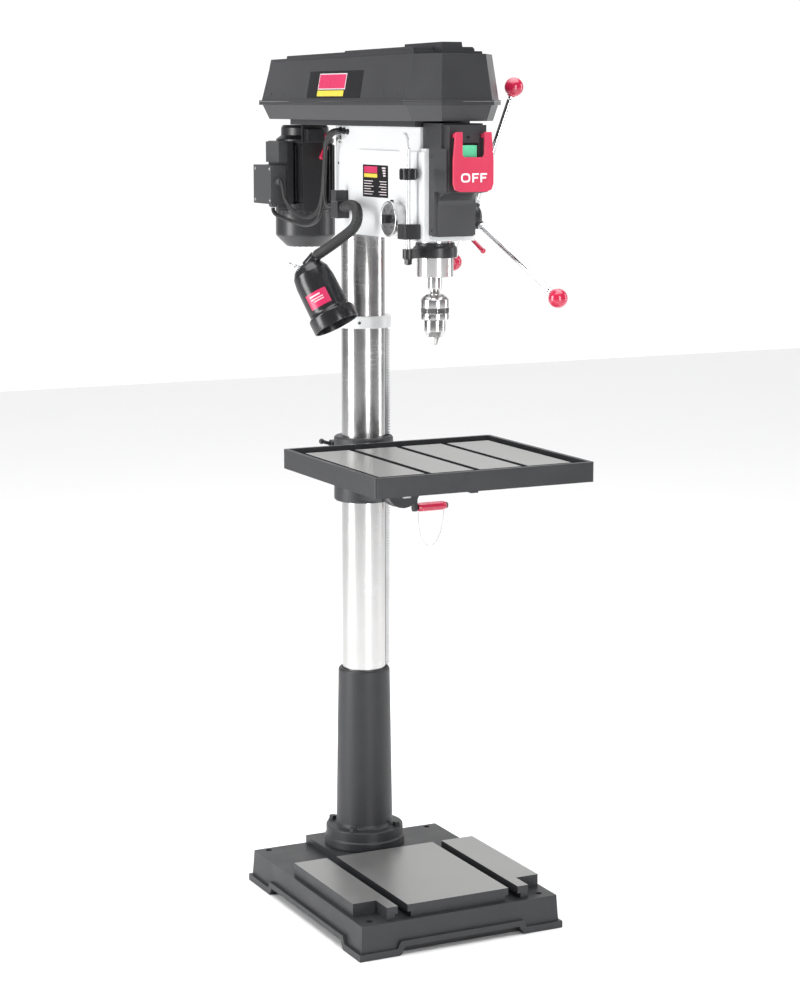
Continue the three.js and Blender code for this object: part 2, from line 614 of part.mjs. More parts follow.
// ---- quill, spindle, depth stop and chuck ----
const spindleLine = assembly(0, SPINDLE_Y, 0);
const lugX = DEPTH.x;
const lugY = DEPTH.y - SPINDLE_Y;
piece('quill', ring(14.5, QUILL.radius, QUILL.low, QUILL.top, 0, 0, FINE), groundSteel, spindleLine);
piece('quill_collar', cut(join(
  turned([[QUILL.radius + GAP, 1369], [43, 1369], [44, 1380], [43, 1388], [39, 1392], [38, 1398],
    [QUILL.radius + GAP, 1398], [QUILL.radius + GAP, 1369]], 0, 0, FINE),
  cut(join(prism('z', [[0, -12], [lugX, lugY - 11], [lugX, lugY + 11], [0, 12]], 1370, 1388),
    post(11, 1370, 1388, lugX, lugY, SMALL)), post(QUILL.radius + 2, 1360, 1400, 0, 0, FINE))),
  post(DEPTH.rod + GAP, 1360, 1400, lugX, lugY, TINY)), blackPaint, spindleLine);
piece('depth_rod', join(post(DEPTH.rod, 1357, 1582, lugX, lugY, TINY), post(8.5, 1357, 1369.6, lugX, lugY, TINY)),
  chrome, spindleLine);
piece('depth_nut', ring(DEPTH.rod + GAP, 17.5, 1521, 1543, lugX, lugY, ROUND), blackPaint, spindleLine);
piece('depth_guide', cut(box(-89, -HEAD.proud - GAP, -376, -343, 1407, 1436),
  post(DEPTH.rod + GAP, 1400, 1440, DEPTH.x, DEPTH.y, TINY)), blackPaint);
piece('spindle', turned([
  [0, 1285], [8, 1285], [8.6, 1298], [11, 1303], [14, 1308], [14, 1590], [12, 1592], [12, 1712], [0, 1712]],
  0, 0, ROUND), groundSteel, spindleLine);
piece('chuck_body', turned([
  [0, 1284], [9, 1284], [9, 1297.5], [12, 1297.5], [24, 1291], [27.5, 1288], [27.5, 1246], [15, 1246],
  [15, 1276], [0, 1276]], 0, 0, ROUND), chrome, spindleLine);
piece('chuck_sleeve', turned([
  [15.3, 1245.7], [21, 1245.7], [21, 1222], [15, 1212], [12.5, 1212], [15.3, 1222], [15.3, 1245.7]], 0, 0, ROUND),
  chrome, spindleLine);
const jawOutline = [[1.8, 1196], [3.6, 1196], [8.6, 1213], [8.6, 1242], [1.8, 1242]];
for (let i = 0; i < 3; i += 1) {
  const jaw = piece(`chuck_jaw_${i + 1}`, prism('y', jawOutline, -2.4, 2.4), alloy, spindleLine);
  jaw.rotation.z = (i * 2 * Math.PI) / 3;
}

// ---- feed shaft, hub, handles and return spring ----
const feed = assembly(0, PINION.y, PINION.z);
piece('feed_shaft', barX(PINION.radius, -72, 116, 0, 0, SMALL), groundSteel, feed);
piece('feed_hub', turnedX([
  [9.3, 62.6], [23, 62.6], [23, 74], [17, 76], [17, 86], [24, 91], [25.5, 98], [25.5, 111], [22, 117],
  [14, 120], [9.3, 120], [9.3, 62.6]], 0, 0, ROUND), blackPaint, feed);
const tilt = THREE.MathUtils.degToRad(HANDLE.tilt);
for (let i = 0; i < 3; i += 1) {
  const handle = new THREE.Group();
  handle.position.x = HANDLE.hub;
  handle.rotation.x = THREE.MathUtils.degToRad(HANDLE.phase + 120 * i);
  feed.add(handle);
  const reach = (s) => [s * Math.sin(tilt), 0, s * Math.cos(tilt)];
  const rodEnd = HANDLE.length - HANDLE.knob - GAP;
  piece(`feed_handle_${i + 1}`, bar(reach(27), reach(rodEnd), HANDLE.rod, TINY), chrome, handle);
  piece(`handle_knob_${i + 1}`, ball(HANDLE.knob, ...reach(HANDLE.length), 12), redPlastic, handle);
}
const cup = -HEAD.proud - GAP;
piece('spring_housing', turnedX([
  [0, -90], [8.5, -90], [8.5, -81], [35, -80], [35, -75], [32, -74], [32, cup], [28, cup], [28, -74], [0, -74]],
  0, 0, ROUND), alloy, feed);
piece('return_spring', turnedX([
  [PINION.radius + 0.6, -70], [25, -70], [25, -60], [PINION.radius + 0.6, -60], [PINION.radius + 0.6, -70]],
  0, 0, ROUND), groundSteel, feed);
piece('quill_lock_lever', join(barX(7.5, HEAD.proud + GAP, 70, -352, 1409, TINY),
  bar([64, -352, 1409], [70, -398, 1383], 3.8, TINY), ball(5.4, 70, -398, 1383, TINY)), redPlastic);

// ---- origin under the middle of the object's box ----
const lip = 3;
group.position.set(0, -(TABLE.front + GUARD.rear + lip) / 2, 0);

export default group;
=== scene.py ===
# Drill press: detailed pieces, procedural materials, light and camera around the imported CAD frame.
from math import atan2, cos, pi, radians, sin, sqrt

import bmesh
import bpy
from mathutils import Matrix, Vector


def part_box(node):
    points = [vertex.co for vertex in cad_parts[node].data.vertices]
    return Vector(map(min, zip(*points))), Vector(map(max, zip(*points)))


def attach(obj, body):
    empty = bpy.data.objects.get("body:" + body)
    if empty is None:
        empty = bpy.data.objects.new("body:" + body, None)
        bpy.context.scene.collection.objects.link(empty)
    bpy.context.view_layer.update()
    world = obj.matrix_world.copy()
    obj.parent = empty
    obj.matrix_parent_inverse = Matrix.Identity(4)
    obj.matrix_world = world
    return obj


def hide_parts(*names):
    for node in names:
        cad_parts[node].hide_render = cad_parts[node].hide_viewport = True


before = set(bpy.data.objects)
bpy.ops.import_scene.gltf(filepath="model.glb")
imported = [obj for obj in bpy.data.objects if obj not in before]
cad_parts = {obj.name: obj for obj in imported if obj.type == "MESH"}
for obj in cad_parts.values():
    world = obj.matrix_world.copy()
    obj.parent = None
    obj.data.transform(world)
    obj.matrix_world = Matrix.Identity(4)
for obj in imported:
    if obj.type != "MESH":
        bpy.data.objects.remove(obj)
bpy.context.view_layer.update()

scene = bpy.context.scene
MM = 0.001
tube_low, tube_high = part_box("column_tube")
# Shapes are drawn in millimetres with the column's axis on x = 0, y = 0, then put in the frame.
TO_FRAME = Matrix.Translation((0, (tube_low.y + tube_high.y) / 2, 0)) @ Matrix.Scale(MM, 4)
FROM_FRAME = TO_FRAME.inverted()


# ---------------------------------------------------------------- materials
def material(name, color, rough, metal=0.0, vary=0.12, grain=220.0, stretch=(1, 1, 1), bump=0.15,
             depth=0.0004, rough_vary=0.08, blotch=9.0, coat=0.0, detail=6.0, specular=0.5,
             glow=0.0):
    """Object-space procedural finish: fine grain, broad blotches, uneven roughness and relief."""
    m = bpy.data.materials.new(name)
    m.use_nodes = True
    nodes, links = m.node_tree.nodes, m.node_tree.links
    shader = nodes["Principled BSDF"]
    place = nodes.new("ShaderNodeTexCoord")
    mapping = nodes.new("ShaderNodeMapping")
    mapping.inputs["Scale"].default_value = stretch
    links.new(place.outputs["Object"], mapping.inputs["Vector"])
    fine = nodes.new("ShaderNodeTexNoise")
    fine.inputs["Scale"].default_value = grain
    fine.inputs["Detail"].default_value = detail
    fine.inputs["Roughness"].default_value = 0.6
    links.new(mapping.outputs["Vector"], fine.inputs["Vector"])
    broad = nodes.new("ShaderNodeTexNoise")
    broad.inputs["Scale"].default_value = blotch
    broad.inputs["Detail"].default_value = 3.0
    links.new(place.outputs["Object"], broad.inputs["Vector"])
    blend = nodes.new("ShaderNodeMath")
    blend.operation = "MULTIPLY_ADD"
    blend.inputs[1].default_value = 0.55
    links.new(fine.outputs["Fac"], blend.inputs[0])
    half = nodes.new("ShaderNodeMath")
    half.operation = "MULTIPLY"
    half.inputs[1].default_value = 0.45
    links.new(broad.outputs["Fac"], half.inputs[0])
    links.new(half.outputs["Value"], blend.inputs[2])
    ramp = nodes.new("ShaderNodeValToRGB")
    ramp.color_ramp.elements[0].position = 0.32
    ramp.color_ramp.elements[1].position = 0.68
    dark = [c * (1 - vary) for c in color]
    light = [min(1.0, c * (1 + vary)) for c in color]
    ramp.color_ramp.elements[0].color = (*dark, 1)
    ramp.color_ramp.elements[1].color = (*light, 1)
    links.new(blend.outputs["Value"], ramp.inputs["Fac"])
    links.new(ramp.outputs["Color"], shader.inputs["Base Color"])
    spread = nodes.new("ShaderNodeMapRange")
    spread.inputs["From Min"].default_value = 0.3
    spread.inputs["From Max"].default_value = 0.7
    spread.inputs["To Min"].default_value = max(0.02, rough - rough_vary)
    spread.inputs["To Max"].default_value = min(1.0, rough + rough_vary)
    links.new(blend.outputs["Value"], spread.inputs["Value"])
    links.new(spread.outputs["Result"], shader.inputs["Roughness"])
    relief = nodes.new("ShaderNodeBump")
    relief.inputs["Strength"].default_value = bump
    relief.inputs["Distance"].default_value = depth
    links.new(fine.outputs["Fac"], relief.inputs["Height"])
    links.new(relief.outputs["Normal"], shader.inputs["Normal"])
    shader.inputs["Metallic"].default_value = metal
    shader.inputs["Coat Weight"].default_value = coat
    shader.inputs["Coat Roughness"].default_value = 0.12
    shader.inputs["Specular IOR Level"].default_value = specular
    # glow is painted light: the surface emits its own colour as if it were lit
    if glow:
        shader.inputs["Emission Color"].default_value = (*color, 1)
        shader.inputs["Emission Strength"].default_value = glow
    return m


cast = material("cast_iron_paint", (0.020, 0.021, 0.023), 0.46, vary=0.25, grain=420, bump=0.5,
                depth=0.0007,
                rough_vary=0.12, blotch=14)
milled = material("milled_iron", (0.30, 0.30, 0.295), 0.36, metal=0.75, vary=0.14, grain=60, bump=0.12,
                  stretch=(1.0, 26, 1), blotch=6, rough_vary=0.1)
ground = material("ground_steel", (0.56, 0.555, 0.55), 0.24, metal=1.0, vary=0.09, grain=34, stretch=(1,
                  1, 60),
                  bump=0.06, rough_vary=0.07, blotch=12)
machined = material("turned_steel", (0.60, 0.595, 0.59), 0.2, metal=1.0, vary=0.1, grain=60, stretch=(1,
                    1, 40),
                    bump=0.05, rough_vary=0.06)
turned_x = material("turned_face", (0.62, 0.62, 0.62), 0.25, metal=1.0, vary=0.12, grain=80, stretch=(30,
                    1, 1),
                    bump=0.06, rough_vary=0.08)
head_paint = material("head_paint", (0.66, 0.67, 0.675), 0.36, vary=0.04, grain=260, bump=0.12,
                      depth=0.0005,
                      blotch=5, coat=0.15)
moulded = material("moulded_plastic", (0.030, 0.0305, 0.033), 0.34, vary=0.16, grain=900, bump=0.16,
                   depth=0.0002,
                   rough_vary=0.07, blotch=7, detail=3)
smooth_black = material("smooth_plastic", (0.014, 0.014, 0.016), 0.24, vary=0.2, grain=700, bump=0.06,
                        depth=0.0002,
                        blotch=8, detail=3)
cover_grey = material("cover_plastic", (0.045, 0.046, 0.048), 0.42, vary=0.14, grain=900, bump=0.22,
                      depth=0.0003,
                      blotch=10, detail=3)
black_paint = material("black_enamel", (0.016, 0.016, 0.018), 0.34, vary=0.2, grain=330, bump=0.25,
                       depth=0.0004,
                       blotch=16)
crimson = material("crimson_plastic", (0.50, 0.012, 0.055), 0.22, vary=0.1, grain=500, bump=0.03, blotch=18,
                   coat=0.6)
paddle_red = material("paddle_plastic", (0.56, 0.035, 0.085), 0.36, vary=0.07, grain=700, bump=0.1,
                      depth=0.0002,
                      blotch=14)
# the start button's plastic carries a faint painted glow: it emits its own green though the button holds no lamp
mint = material("button_plastic", (0.10, 0.55, 0.30), 0.34, vary=0.1, grain=600, bump=0.06, blotch=40,
                glow=0.12)
chrome = material("chrome", (0.72, 0.725, 0.73), 0.1, metal=1.0, vary=0.05, grain=260, bump=0.015,
                  rough_vary=0.04, blotch=20)
rubber = material("black_rubber", (0.012, 0.012, 0.013), 0.52, vary=0.25, grain=800, bump=0.2, depth=0.0002)
alloy = material("cast_alloy", (0.50, 0.505, 0.51), 0.38, metal=0.9, vary=0.14, grain=120, stretch=(1, 1,
                 20),
                 bump=0.14, blotch=20)
glass = material("frosted_bulb", (0.86, 0.85, 0.80), 0.2, vary=0.03, grain=300, bump=0.02, coat=0.5)
white_ink = material("white_print", (0.82, 0.82, 0.82), 0.5, vary=0.05, grain=600, bump=0.05)
badge_black = material("badge_field", (0.004, 0.004, 0.005), 0.16, vary=0.3, grain=400, bump=0.02)
badge_red = material("badge_red", (0.50, 0.02, 0.09), 0.3, vary=0.08, grain=500, bump=0.03)
badge_yellow = material("badge_yellow", (0.62, 0.50, 0.05), 0.35, vary=0.1, grain=500, bump=0.03)
badge_pale = material("badge_pale", (0.62, 0.55, 0.56), 0.4, vary=0.08, grain=500, bump=0.03)
# a dark matte grey for screws, marks and bands, also used as painted shade for the chuck's key holes
dark_trim_and_hole_shade = material("dark_trim_and_painted_hole_shade", (0.05, 0.05, 0.05), 0.5, vary=0.2, grain=400)


# ---------------------------------------------------------------- mesh tools
def aim(origin, direction, roll=(1, 0, 0)):
    """Local +Z lies along direction, local origin at origin."""
    z = Vector(direction).normalized()
    x = Vector(roll) - z * Vector(roll).dot(z)
    if x.length < 1e-4:
        x = Vector((0, 1, 0)) - z * z.y
    x.normalize()
    y = z.cross(x)
    turn = Matrix((x, y, z)).transposed().to_4x4()
    return Matrix.Translation(origin) @ turn


def rounded(profile, radius, closed=False):
    """A polyline with its corners eased by up to radius."""
    points = [Vector(p) for p in profile]
    count = len(points)
    out = []
    for i, p in enumerate(points):
        if not closed and i in (0, count - 1):
            out.append(p)
            continue
        a, b = points[(i - 1) % count], points[(i + 1) % count]
        into, away = a - p, b - p
        if into.length < 1e-6 or away.length < 1e-6 or into.angle(away) > radians(165):
            out.append(p)
            continue
        r = min(radius, into.length * 0.42, away.length * 0.42)
        start, end = p + into.normalized() * r, p + away.normalized() * r
        for t in (0, 0.33, 0.67, 1):
            out.append(start.lerp(p, t).lerp(p.lerp(end, t), t))
    return out


def lathe(bm, profile, place=Matrix(), sides=64, mat=0, ease=0.0, loop=False):
    """[radius, height] points turned round local Z. loop closes the profile on itself."""
    points = rounded(profile, ease, loop) if ease else [Vector(p) for p in profile]
    rings = []
    for r, h in points:
        if r < 1e-6:
            rings.append([bm.verts.new(place @ Vector((0, 0, h)))])
        else:
            rings.append([bm.verts.new(place @ Vector((r * cos(2 * pi * i / sides),
                         r * sin(2 * pi * i / sides), h)))
                          for i in range(sides)])
    pairs = list(zip(rings, rings[1:]))
    if loop:
        pairs.append((rings[-1], rings[0]))
    for a, b in pairs:
        if len(a) == 1 and len(b) == 1:
            continue
        for i in range(sides):
            j = (i + 1) % sides
            if len(a) == 1:
                corners = (a[0], b[j], b[i])
            elif len(b) == 1:
                corners = (a[i], a[j], b[0])
            else:
                corners = (a[i], a[j], b[j], b[i])
            bm.faces.new(corners).material_index = mat


def rod(bm, a, b, radius, sides=28, mat=0, ease=0.6, end=None):
    """A round bar from a to b; end is the far radius where it tapers."""
    a, b = Vector(a), Vector(b)
    far = radius if end is None else end
    lathe(bm, [(0, 0), (radius, 0), (far, (b - a).length), (0, (b - a).length)], aim(a, b - a), sides,
          mat, ease)


def sweep(bm, outline, place, low, high, mat=0):
    """A flat outline carried along local Z from low to high."""
    bottom = [bm.verts.new(place @ Vector((u, v, low))) for u, v in outline]
    top = [bm.verts.new(place @ Vector((u, v, high))) for u, v in outline]
    count = len(outline)
    bm.faces.new(bottom[::-1]).material_index = mat
    bm.faces.new(top).material_index = mat
    for i in range(count):
        j = (i + 1) % count
        bm.faces.new((bottom[i], bottom[j], top[j], top[i])).material_index = mat


ALONG_Z = Matrix()
ALONG_Y = Matrix(((1, 0, 0, 0), (0, 0, 1, 0), (0, 1, 0, 0), (0, 0, 0, 1)))


def block(bm, x0, x1, y0, y1, z0, z1, mat=0):
    sweep(bm, [(x0, y0), (x1, y0), (x1, y1), (x0, y1)], ALONG_Z, z0, z1, mat)


def sphere(bm, radius, centre, mat=0, sides=40, place=None):
    half = sides // 2
    profile = [(radius * sin(pi * i / half), -radius * cos(pi * i / half)) for i in range(half + 1)]
    profile[0] = (0, -radius)
    profile[-1] = (0, radius)
    lathe(bm, profile, place or Matrix.Translation(centre), sides, mat)


def spline(points, steps):
    """Points on a smooth curve through the given ones, evenly spread between them."""
    points = [Vector(p) for p in points]
    padded = [points[0] * 2 - points[1]] + points + [points[-1] * 2 - points[-2]]
    dense = []
    for i in range(1, len(padded) - 2):
        p0, p1, p2, p3 = padded[i - 1:i + 3]
        for k in range(12):
            t = k / 12
            dense.append(0.5 * ((2 * p1) + (p2 - p0) * t + (2 * p0 - 5 * p1 + 4 * p2 - p3) * t * t
                                + (3 * p1 - p0 - 3 * p2 + p3) * t ** 3))
    dense.append(points[-1])
    reach = [0.0]
    for a, b in zip(dense, dense[1:]):
        reach.append(reach[-1] + (b - a).length)
    out, k = [], 0
    for i in range(steps + 1):
        want = reach[-1] * i / steps
        while k < len(dense) - 2 and reach[k + 1] < want:
            k += 1
        span = reach[k + 1] - reach[k] or 1.0
        out.append(dense[k].lerp(dense[k + 1], (want - reach[k]) / span))
    return out, reach[-1]


def tube(bm, route, radii, sides=16, mat=0):
    """A round skin round a route; radii gives the radius at each of its points."""
    side = None
    rings = []
    for i, p in enumerate(route):
        ahead = route[min(i + 1, len(route) - 1)] - route[max(i - 1, 0)]
        ahead.normalize()
        if side is None:
            side = ahead.orthogonal().normalized()
        side = (side - ahead * side.dot(ahead)).normalized()
        other = ahead.cross(side)
        r = radii[i] if hasattr(radii, "__len__") else radii
        rings.append([bm.verts.new(p + (side * cos(2 * pi * k / sides) + other * sin(2 * pi * k / sides)) * r)
                      for k in range(sides)])
    for a, b in zip(rings, rings[1:]):
        for k in range(sides):
            j = (k + 1) % sides
            bm.faces.new((a[k], a[j], b[j], b[k])).material_index = mat
    bm.faces.new(rings[0][::-1]).material_index = mat
    bm.faces.new(rings[-1]).material_index = mat


def ease_edges(bm, width, segments=2, over=28, where=None):
    """Rounds the edges sharper than an angle, where says which by their middle."""
    chosen = []
    for e in bm.edges:
        if len(e.link_faces) == 2 and e.calc_face_angle(0) > radians(over):
            middle = (e.verts[0].co + e.verts[1].co) / 2
            if where is None or where(middle):
                chosen.append(e)
    if chosen:
        bmesh.ops.bevel(bm, geom=chosen, offset=width, offset_type="OFFSET", segments=segments, profile=0.5,
                        affect="EDGES", clamp_overlap=True)


def from_cad(node):
    """The CAD node's own shape, with its flat faces whole again, in millimetres."""
    bm = bmesh.new()
    bm.from_mesh(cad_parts[node].data)
    bm.transform(FROM_FRAME)
    bmesh.ops.remove_doubles(bm, verts=bm.verts, dist=0.002)
    bmesh.ops.dissolve_limit(bm, angle_limit=radians(0.4), verts=bm.verts, edges=bm.edges)
    for f in bm.faces:
        f.material_index = 0
    return bm


def shade(mesh, angle):
    """Face-weighted normals, kept apart across edges sharper than an angle."""
    limit = cos(radians(angle))
    around = [[] for _ in mesh.vertices]
    normals = [p.normal.copy() for p in mesh.polygons]
    areas = [p.area for p in mesh.polygons]
    for p in mesh.polygons:
        for v in p.vertices:
            around[v].append(p.index)
    out = []
    for p in mesh.polygons:
        mine = normals[p.index]
        for v in p.vertices:
            total = Vector()
            for q in around[v]:
                if normals[q].dot(mine) > limit:
                    total += normals[q] * areas[q]
            out.append(total.normalized() if total.length > 0 else mine)
    mesh.polygons.foreach_set("use_smooth", [True] * len(mesh.polygons))
    mesh.normals_split_custom_set(out)


def emit(name, bm, body, mats, stands_for=(), smooth=40, weigh=True):
    """Turns a drawing into a piece that rides on a body."""
    bmesh.ops.remove_doubles(bm, verts=bm.verts, dist=0.0004)
    bmesh.ops.recalc_face_normals(bm, faces=bm.faces)
    bm.transform(TO_FRAME)
    mesh = bpy.data.meshes.new(name)
    bm.to_mesh(mesh)
    bm.free()
    obj = bpy.data.objects.new(name, mesh)
    scene.collection.objects.link(obj)
    for m in mats if isinstance(mats, (list, tuple)) else [mats]:
        mesh.materials.append(m)
    if weigh:
        shade(mesh, smooth)
    else:
        mesh.polygons.foreach_set("use_smooth", [True] * len(mesh.polygons))
        mesh.set_sharp_from_angle(angle=radians(smooth))
    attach(obj, body)
    if stands_for:
        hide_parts(*([stands_for] if isinstance(stands_for, str) else stands_for))
    return obj


def hex_bolt(bm, origin, direction, across, height, mat=0, washer=0.0):
    place = aim(origin, direction)
    if washer:
        lathe(bm, [(0, 0), (washer, 0), (washer, 1.6), (0, 1.6)], place, 32, mat, 0.4)
    r = across / sqrt(3)
    start = 1.6 if washer else 0.0
    outline = [(r * cos(pi * i / 3), r * sin(pi * i / 3)) for i in range(6)]
    sweep(bm, outline, place, start, start + height, mat)
    lathe(bm, [(0, start + height - 0.2), (across * 0.46, start + height - 0.2), (across * 0.4,
          start + height + 0.7),
               (0, start + height + 0.7)], place, 24, mat)


def cap_screw(bm, origin, direction, radius, height, mat=0):
    """A round head with a driver recess."""
    place = aim(origin, direction)
    lathe(bm, [(0, 0), (radius, 0), (radius, height * 0.6), (radius * 0.8, height), (radius * 0.45, height),
               (radius * 0.4, height * 0.35), (0, height * 0.3)], place, 24, mat, radius * 0.12)


def restyle(node, mats):
    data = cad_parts[node].data
    data.materials.clear()
    for m in mats if isinstance(mats, (list, tuple)) else [mats]:
        data.materials.append(m)
    data.polygons.foreach_set("use_smooth", [True] * len(data.polygons))
    data.set_sharp_from_angle(angle=radians(35))


def knurl(bm, radius, low, high, place=Matrix(), teeth=60, depth=0.7, mat=0, inner=None):
    """A ring of upright ribs between two heights, closed by flat faces down to inner."""
    outline = []
    for i in range(teeth * 2):
        turn = pi * i / teeth
        r = radius if i % 2 == 0 else radius - depth
        outline.append((r * cos(turn), r * sin(turn)))
    inside = inner or radius * 0.5
    count = len(outline)
    core = [(inside * cos(2 * pi * i / count), inside * sin(2 * pi * i / count)) for i in range(count)]
    rows = []
    for line, z in ((core, low), (outline, low), (outline, high), (core, high)):
        rows.append([bm.verts.new(place @ Vector((u, v, z))) for u, v in line])
    for a, b in zip(rows, rows[1:] + rows[:1]):
        for i in range(count):
            j = (i + 1) % count
            bm.faces.new((a[i], a[j], b[j], b[i])).material_index = mat


# ---------------------------------------------------------------- base, sleeve, column
bm = from_cad("base_casting")
ease_edges(bm, 1.4, 2, 27)
for f in bm.faces:
    if f.normal.z > 0.97 and f.calc_center_median().z > 94:
        f.material_index = 1
emit("base_detail", bm, "frame", [cast, milled], "base_casting")

bm = bmesh.new()
lathe(bm, [(46.3, 85.3), (86, 85.3), (86, 103.3), (83, 104.8), (83, 126.3), (64, 128.3), (60.5, 134.3),
      (55, 471),
           (52, 475), (46.3, 475)], sides=96, ease=2.2, loop=True)
for i in range(4):
    turn = pi / 4 + i * pi / 2
    hex_bolt(bm, (73 * cos(turn), 73 * sin(turn), 126.0), (0, 0, 1), 15, 8, 0, 10)
emit("sleeve_detail", bm, "frame", cast, "column_sleeve", smooth=45)

bm = bmesh.new()
lathe(bm, [(41, 85.6), (46, 85.6), (46, 1602), (41, 1602)], sides=112, ease=0.5, loop=True)
emit("column_detail", bm, "frame", ground, "column_tube", weigh=False)

bm = bmesh.new()
lathe(bm, [(46.3, 1205), (59, 1205), (59, 1230), (46.3, 1230)], sides=96, ease=2.0, loop=True)
cap_screw(bm, (-32, -49.4, 1217.5), (-0.54, -0.84, 0), 3.2, 1.0, 1)
emit("collar_detail", bm, "frame", [head_paint, dark_trim_and_hole_shade], "column_collar")

# ---------------------------------------------------------------- rack, table and its bracket
bm = bmesh.new()
rack_low, rack_high, pitch = 475.3, 1204.7, 6.0
outline = [(46.6, rack_low), (52.6, rack_low)]
count = int((rack_high - rack_low - 8) / pitch)
for i in range(count):
    z = rack_low + 4 + i * pitch
    outline += [(52.6, z), (57, z + 1.3), (57, z + 3.0), (52.6, z + 4.3)]
outline += [(52.6, rack_high), (46.6, rack_high)]
sweep(bm, outline, ALONG_Y, -11, 11)
emit("rack_teeth", bm, "rack", alloy, "table_rack", weigh=False, smooth=30)

bm = from_cad("table_bracket")
ease_edges(bm, 1.2, 2, 32)
emit("bracket_detail", bm, "carriage", cast, "table_bracket")

bm = from_cad("table_casting")
table_low, table_high = (FROM_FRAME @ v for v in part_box("table_casting"))


def outer_corner(m):
    return (abs(m.x) > table_high.x - 1 and min(abs(m.y - table_low.y), abs(m.y - table_high.y)) < 1)


ease_edges(bm, 6, 4, 60, outer_corner)
ease_edges(bm, 1.3, 2, 32)
for f in bm.faces:
    c = f.calc_center_median()
    if f.normal.z > 0.97 and c.z > 971:
        f.material_index = 1 if c.z < 973.5 else 0
emit("table_detail", bm, "table", [cast, milled], "table_casting")

bm = bmesh.new()
rod(bm, (0, -196, 885), (0, -142, 885), 10)
hex_bolt(bm, (0, -194.3, 885), (0, -1, 0), 29, 11.5, 0)
emit("tilt_bolt_detail", bm, "carriage", machined, "tilt_bolt", weigh=False)

bm = bmesh.new()
rod(bm, (-25, 78, 948), (34, 78, 948), 6)
rod(bm, (-42, 78, 948), (-22.3, 78, 948), 10, ease=1.5)
rod(bm, (-36, 78, 948), (-60, 82, 955), 4)
sphere(bm, 6, (-60, 82, 955))
emit("table_lock_detail", bm, "table_lock", black_paint, "table_lock_lever", weigh=False)

bm = from_cad("crank_arm")
ease_edges(bm, 0.8, 2, 30)
emit("crank_arm_detail", bm, "crank", black_paint, "crank_arm")
grip_z = 885 - 70
bm = bmesh.new()
profile = [(5, 116), (8, 116), (9.5, 121)]
for i in range(7):
    x = 127 + i * 7
    profile += [(10, x), (9.5, x + 2.2), (10, x + 4.4)]
profile += [(9, 178), (7.5, 183.5), (5, 183.5)]
lathe(bm, profile, aim((0, -23, grip_z), (1, 0, 0)), 40, 0, 0.8, True)
emit("crank_grip_detail", bm, "crank_handle", crimson, "crank_grip", weigh=False, smooth=60)

bm = bmesh.new()
hang = [(118.5, -23, grip_z - 10.6), (119.5, -23, grip_z - 38), (128, -23, grip_z - 70), (146, -23,
        grip_z - 86),
        (165, -23, grip_z - 72), (176, -23, grip_z - 40), (180, -23, grip_z - 10.6)]
route, length = spline(hang, 52)
for i in range(52):
    a, b = route[i], route[i + 1]
    along = (b - a).normalized()
    flat = Vector((0, 1, 0)) if i % 2 else along.cross(Vector((0, 1, 0))).normalized()
    middle, reach = (a + b) / 2, (b - a).length * 0.72
    ring = [middle + along * reach * cos(t) + flat * 1.25 * sin(t) for t in [2 * pi * k / 12 for k in range(12)]]
    normal = along.cross(flat)
    rows = []
    for k, p in enumerate(ring):
        out = (p - middle).normalized()
        rows.append([bm.verts.new(p + (out * cos(2 * pi * s / 6) + normal * sin(2 * pi * s / 6)) * 0.42)
                     for s in range(6)])
    for k in range(12):
        for s in range(6):
            bm.faces.new((rows[k][s], rows[k][(s + 1) % 6], rows[(k + 1) % 12][(s + 1) % 6],
                         rows[(k + 1) % 12][s]))
emit("crank_chain_links", bm, "chain", chrome, "crank_chain", weigh=False, smooth=80)

# ---------------------------------------------------------------- head and front cover
bm = from_cad("head_casting")
ease_edges(bm, 1.8, 3, 32, lambda m: m.z < 1619)
emit("head_detail", bm, "frame", head_paint, "head_casting", smooth=35)

bm = bmesh.new()
hex_bolt(bm, (-51, 1, 1594), (-1, 0, 0), 10, 5, 0, 8.5)
cap_screw(bm, (-51, 9, 1545), (-1, 0, 0), 2.6, 0.8, 1)
cap_screw(bm, (-55, -250, 1425), (-1, 0, 0), 3.5, 2.2, 0)
for z in (1430, 1560):
    cap_screw(bm, (55, -120, z), (1, 0, 0), 4, 2.4, 0)
emit("head_fasteners", bm, "frame", [machined, dark_trim_and_hole_shade])


def plate(bm, y0, y1, z0, z1, x, thick, mat=0, lean=None):
    """A thin plate on the left side; lean gives x for a height on a sloping wall."""
    face = lean or (lambda z: x)
    corners = [(y0, z0), (y1, z0), (y1, z1), (y0, z1)]
    back = [bm.verts.new(Vector((face(z), y, z))) for y, z in corners]
    front = [bm.verts.new(Vector((face(z) - thick, y, z))) for y, z in corners]
    bm.faces.new(back).material_index = mat
    bm.faces.new(front[::-1]).material_index = mat
    for i in range(4):
        j = (i + 1) % 4
        bm.faces.new((back[i], front[i], front[j], back[j])).material_index = mat


bm = bmesh.new()
plate(bm, -233, -117, 1481, 1545, -55, 0.5, 0)
plate(bm, -184, -124, 1529, 1542, -55.5, 0.25, 1)
plate(bm, -184, -124, 1520, 1527.5, -55.5, 0.25, 2)
for row in range(6):
    z = 1486 + row * 5.2
    wide = (38, 44, 30, 42, 34, 40)[row]
    plate(bm, -124 - wide, -124, z, z + 1.5, -55.5, 0.2, 3)
    plate(bm, -226, -226 + wide * 0.8, z, z + 1.5, -55.5, 0.2, 3)
for row in range(4):
    plate(bm, -222, -212 + row * 2, 1523 + row * 5, 1526 + row * 5, -55.5, 0.2, 3)
emit("head_label", bm, "frame", [badge_black, badge_red, badge_yellow, badge_pale])

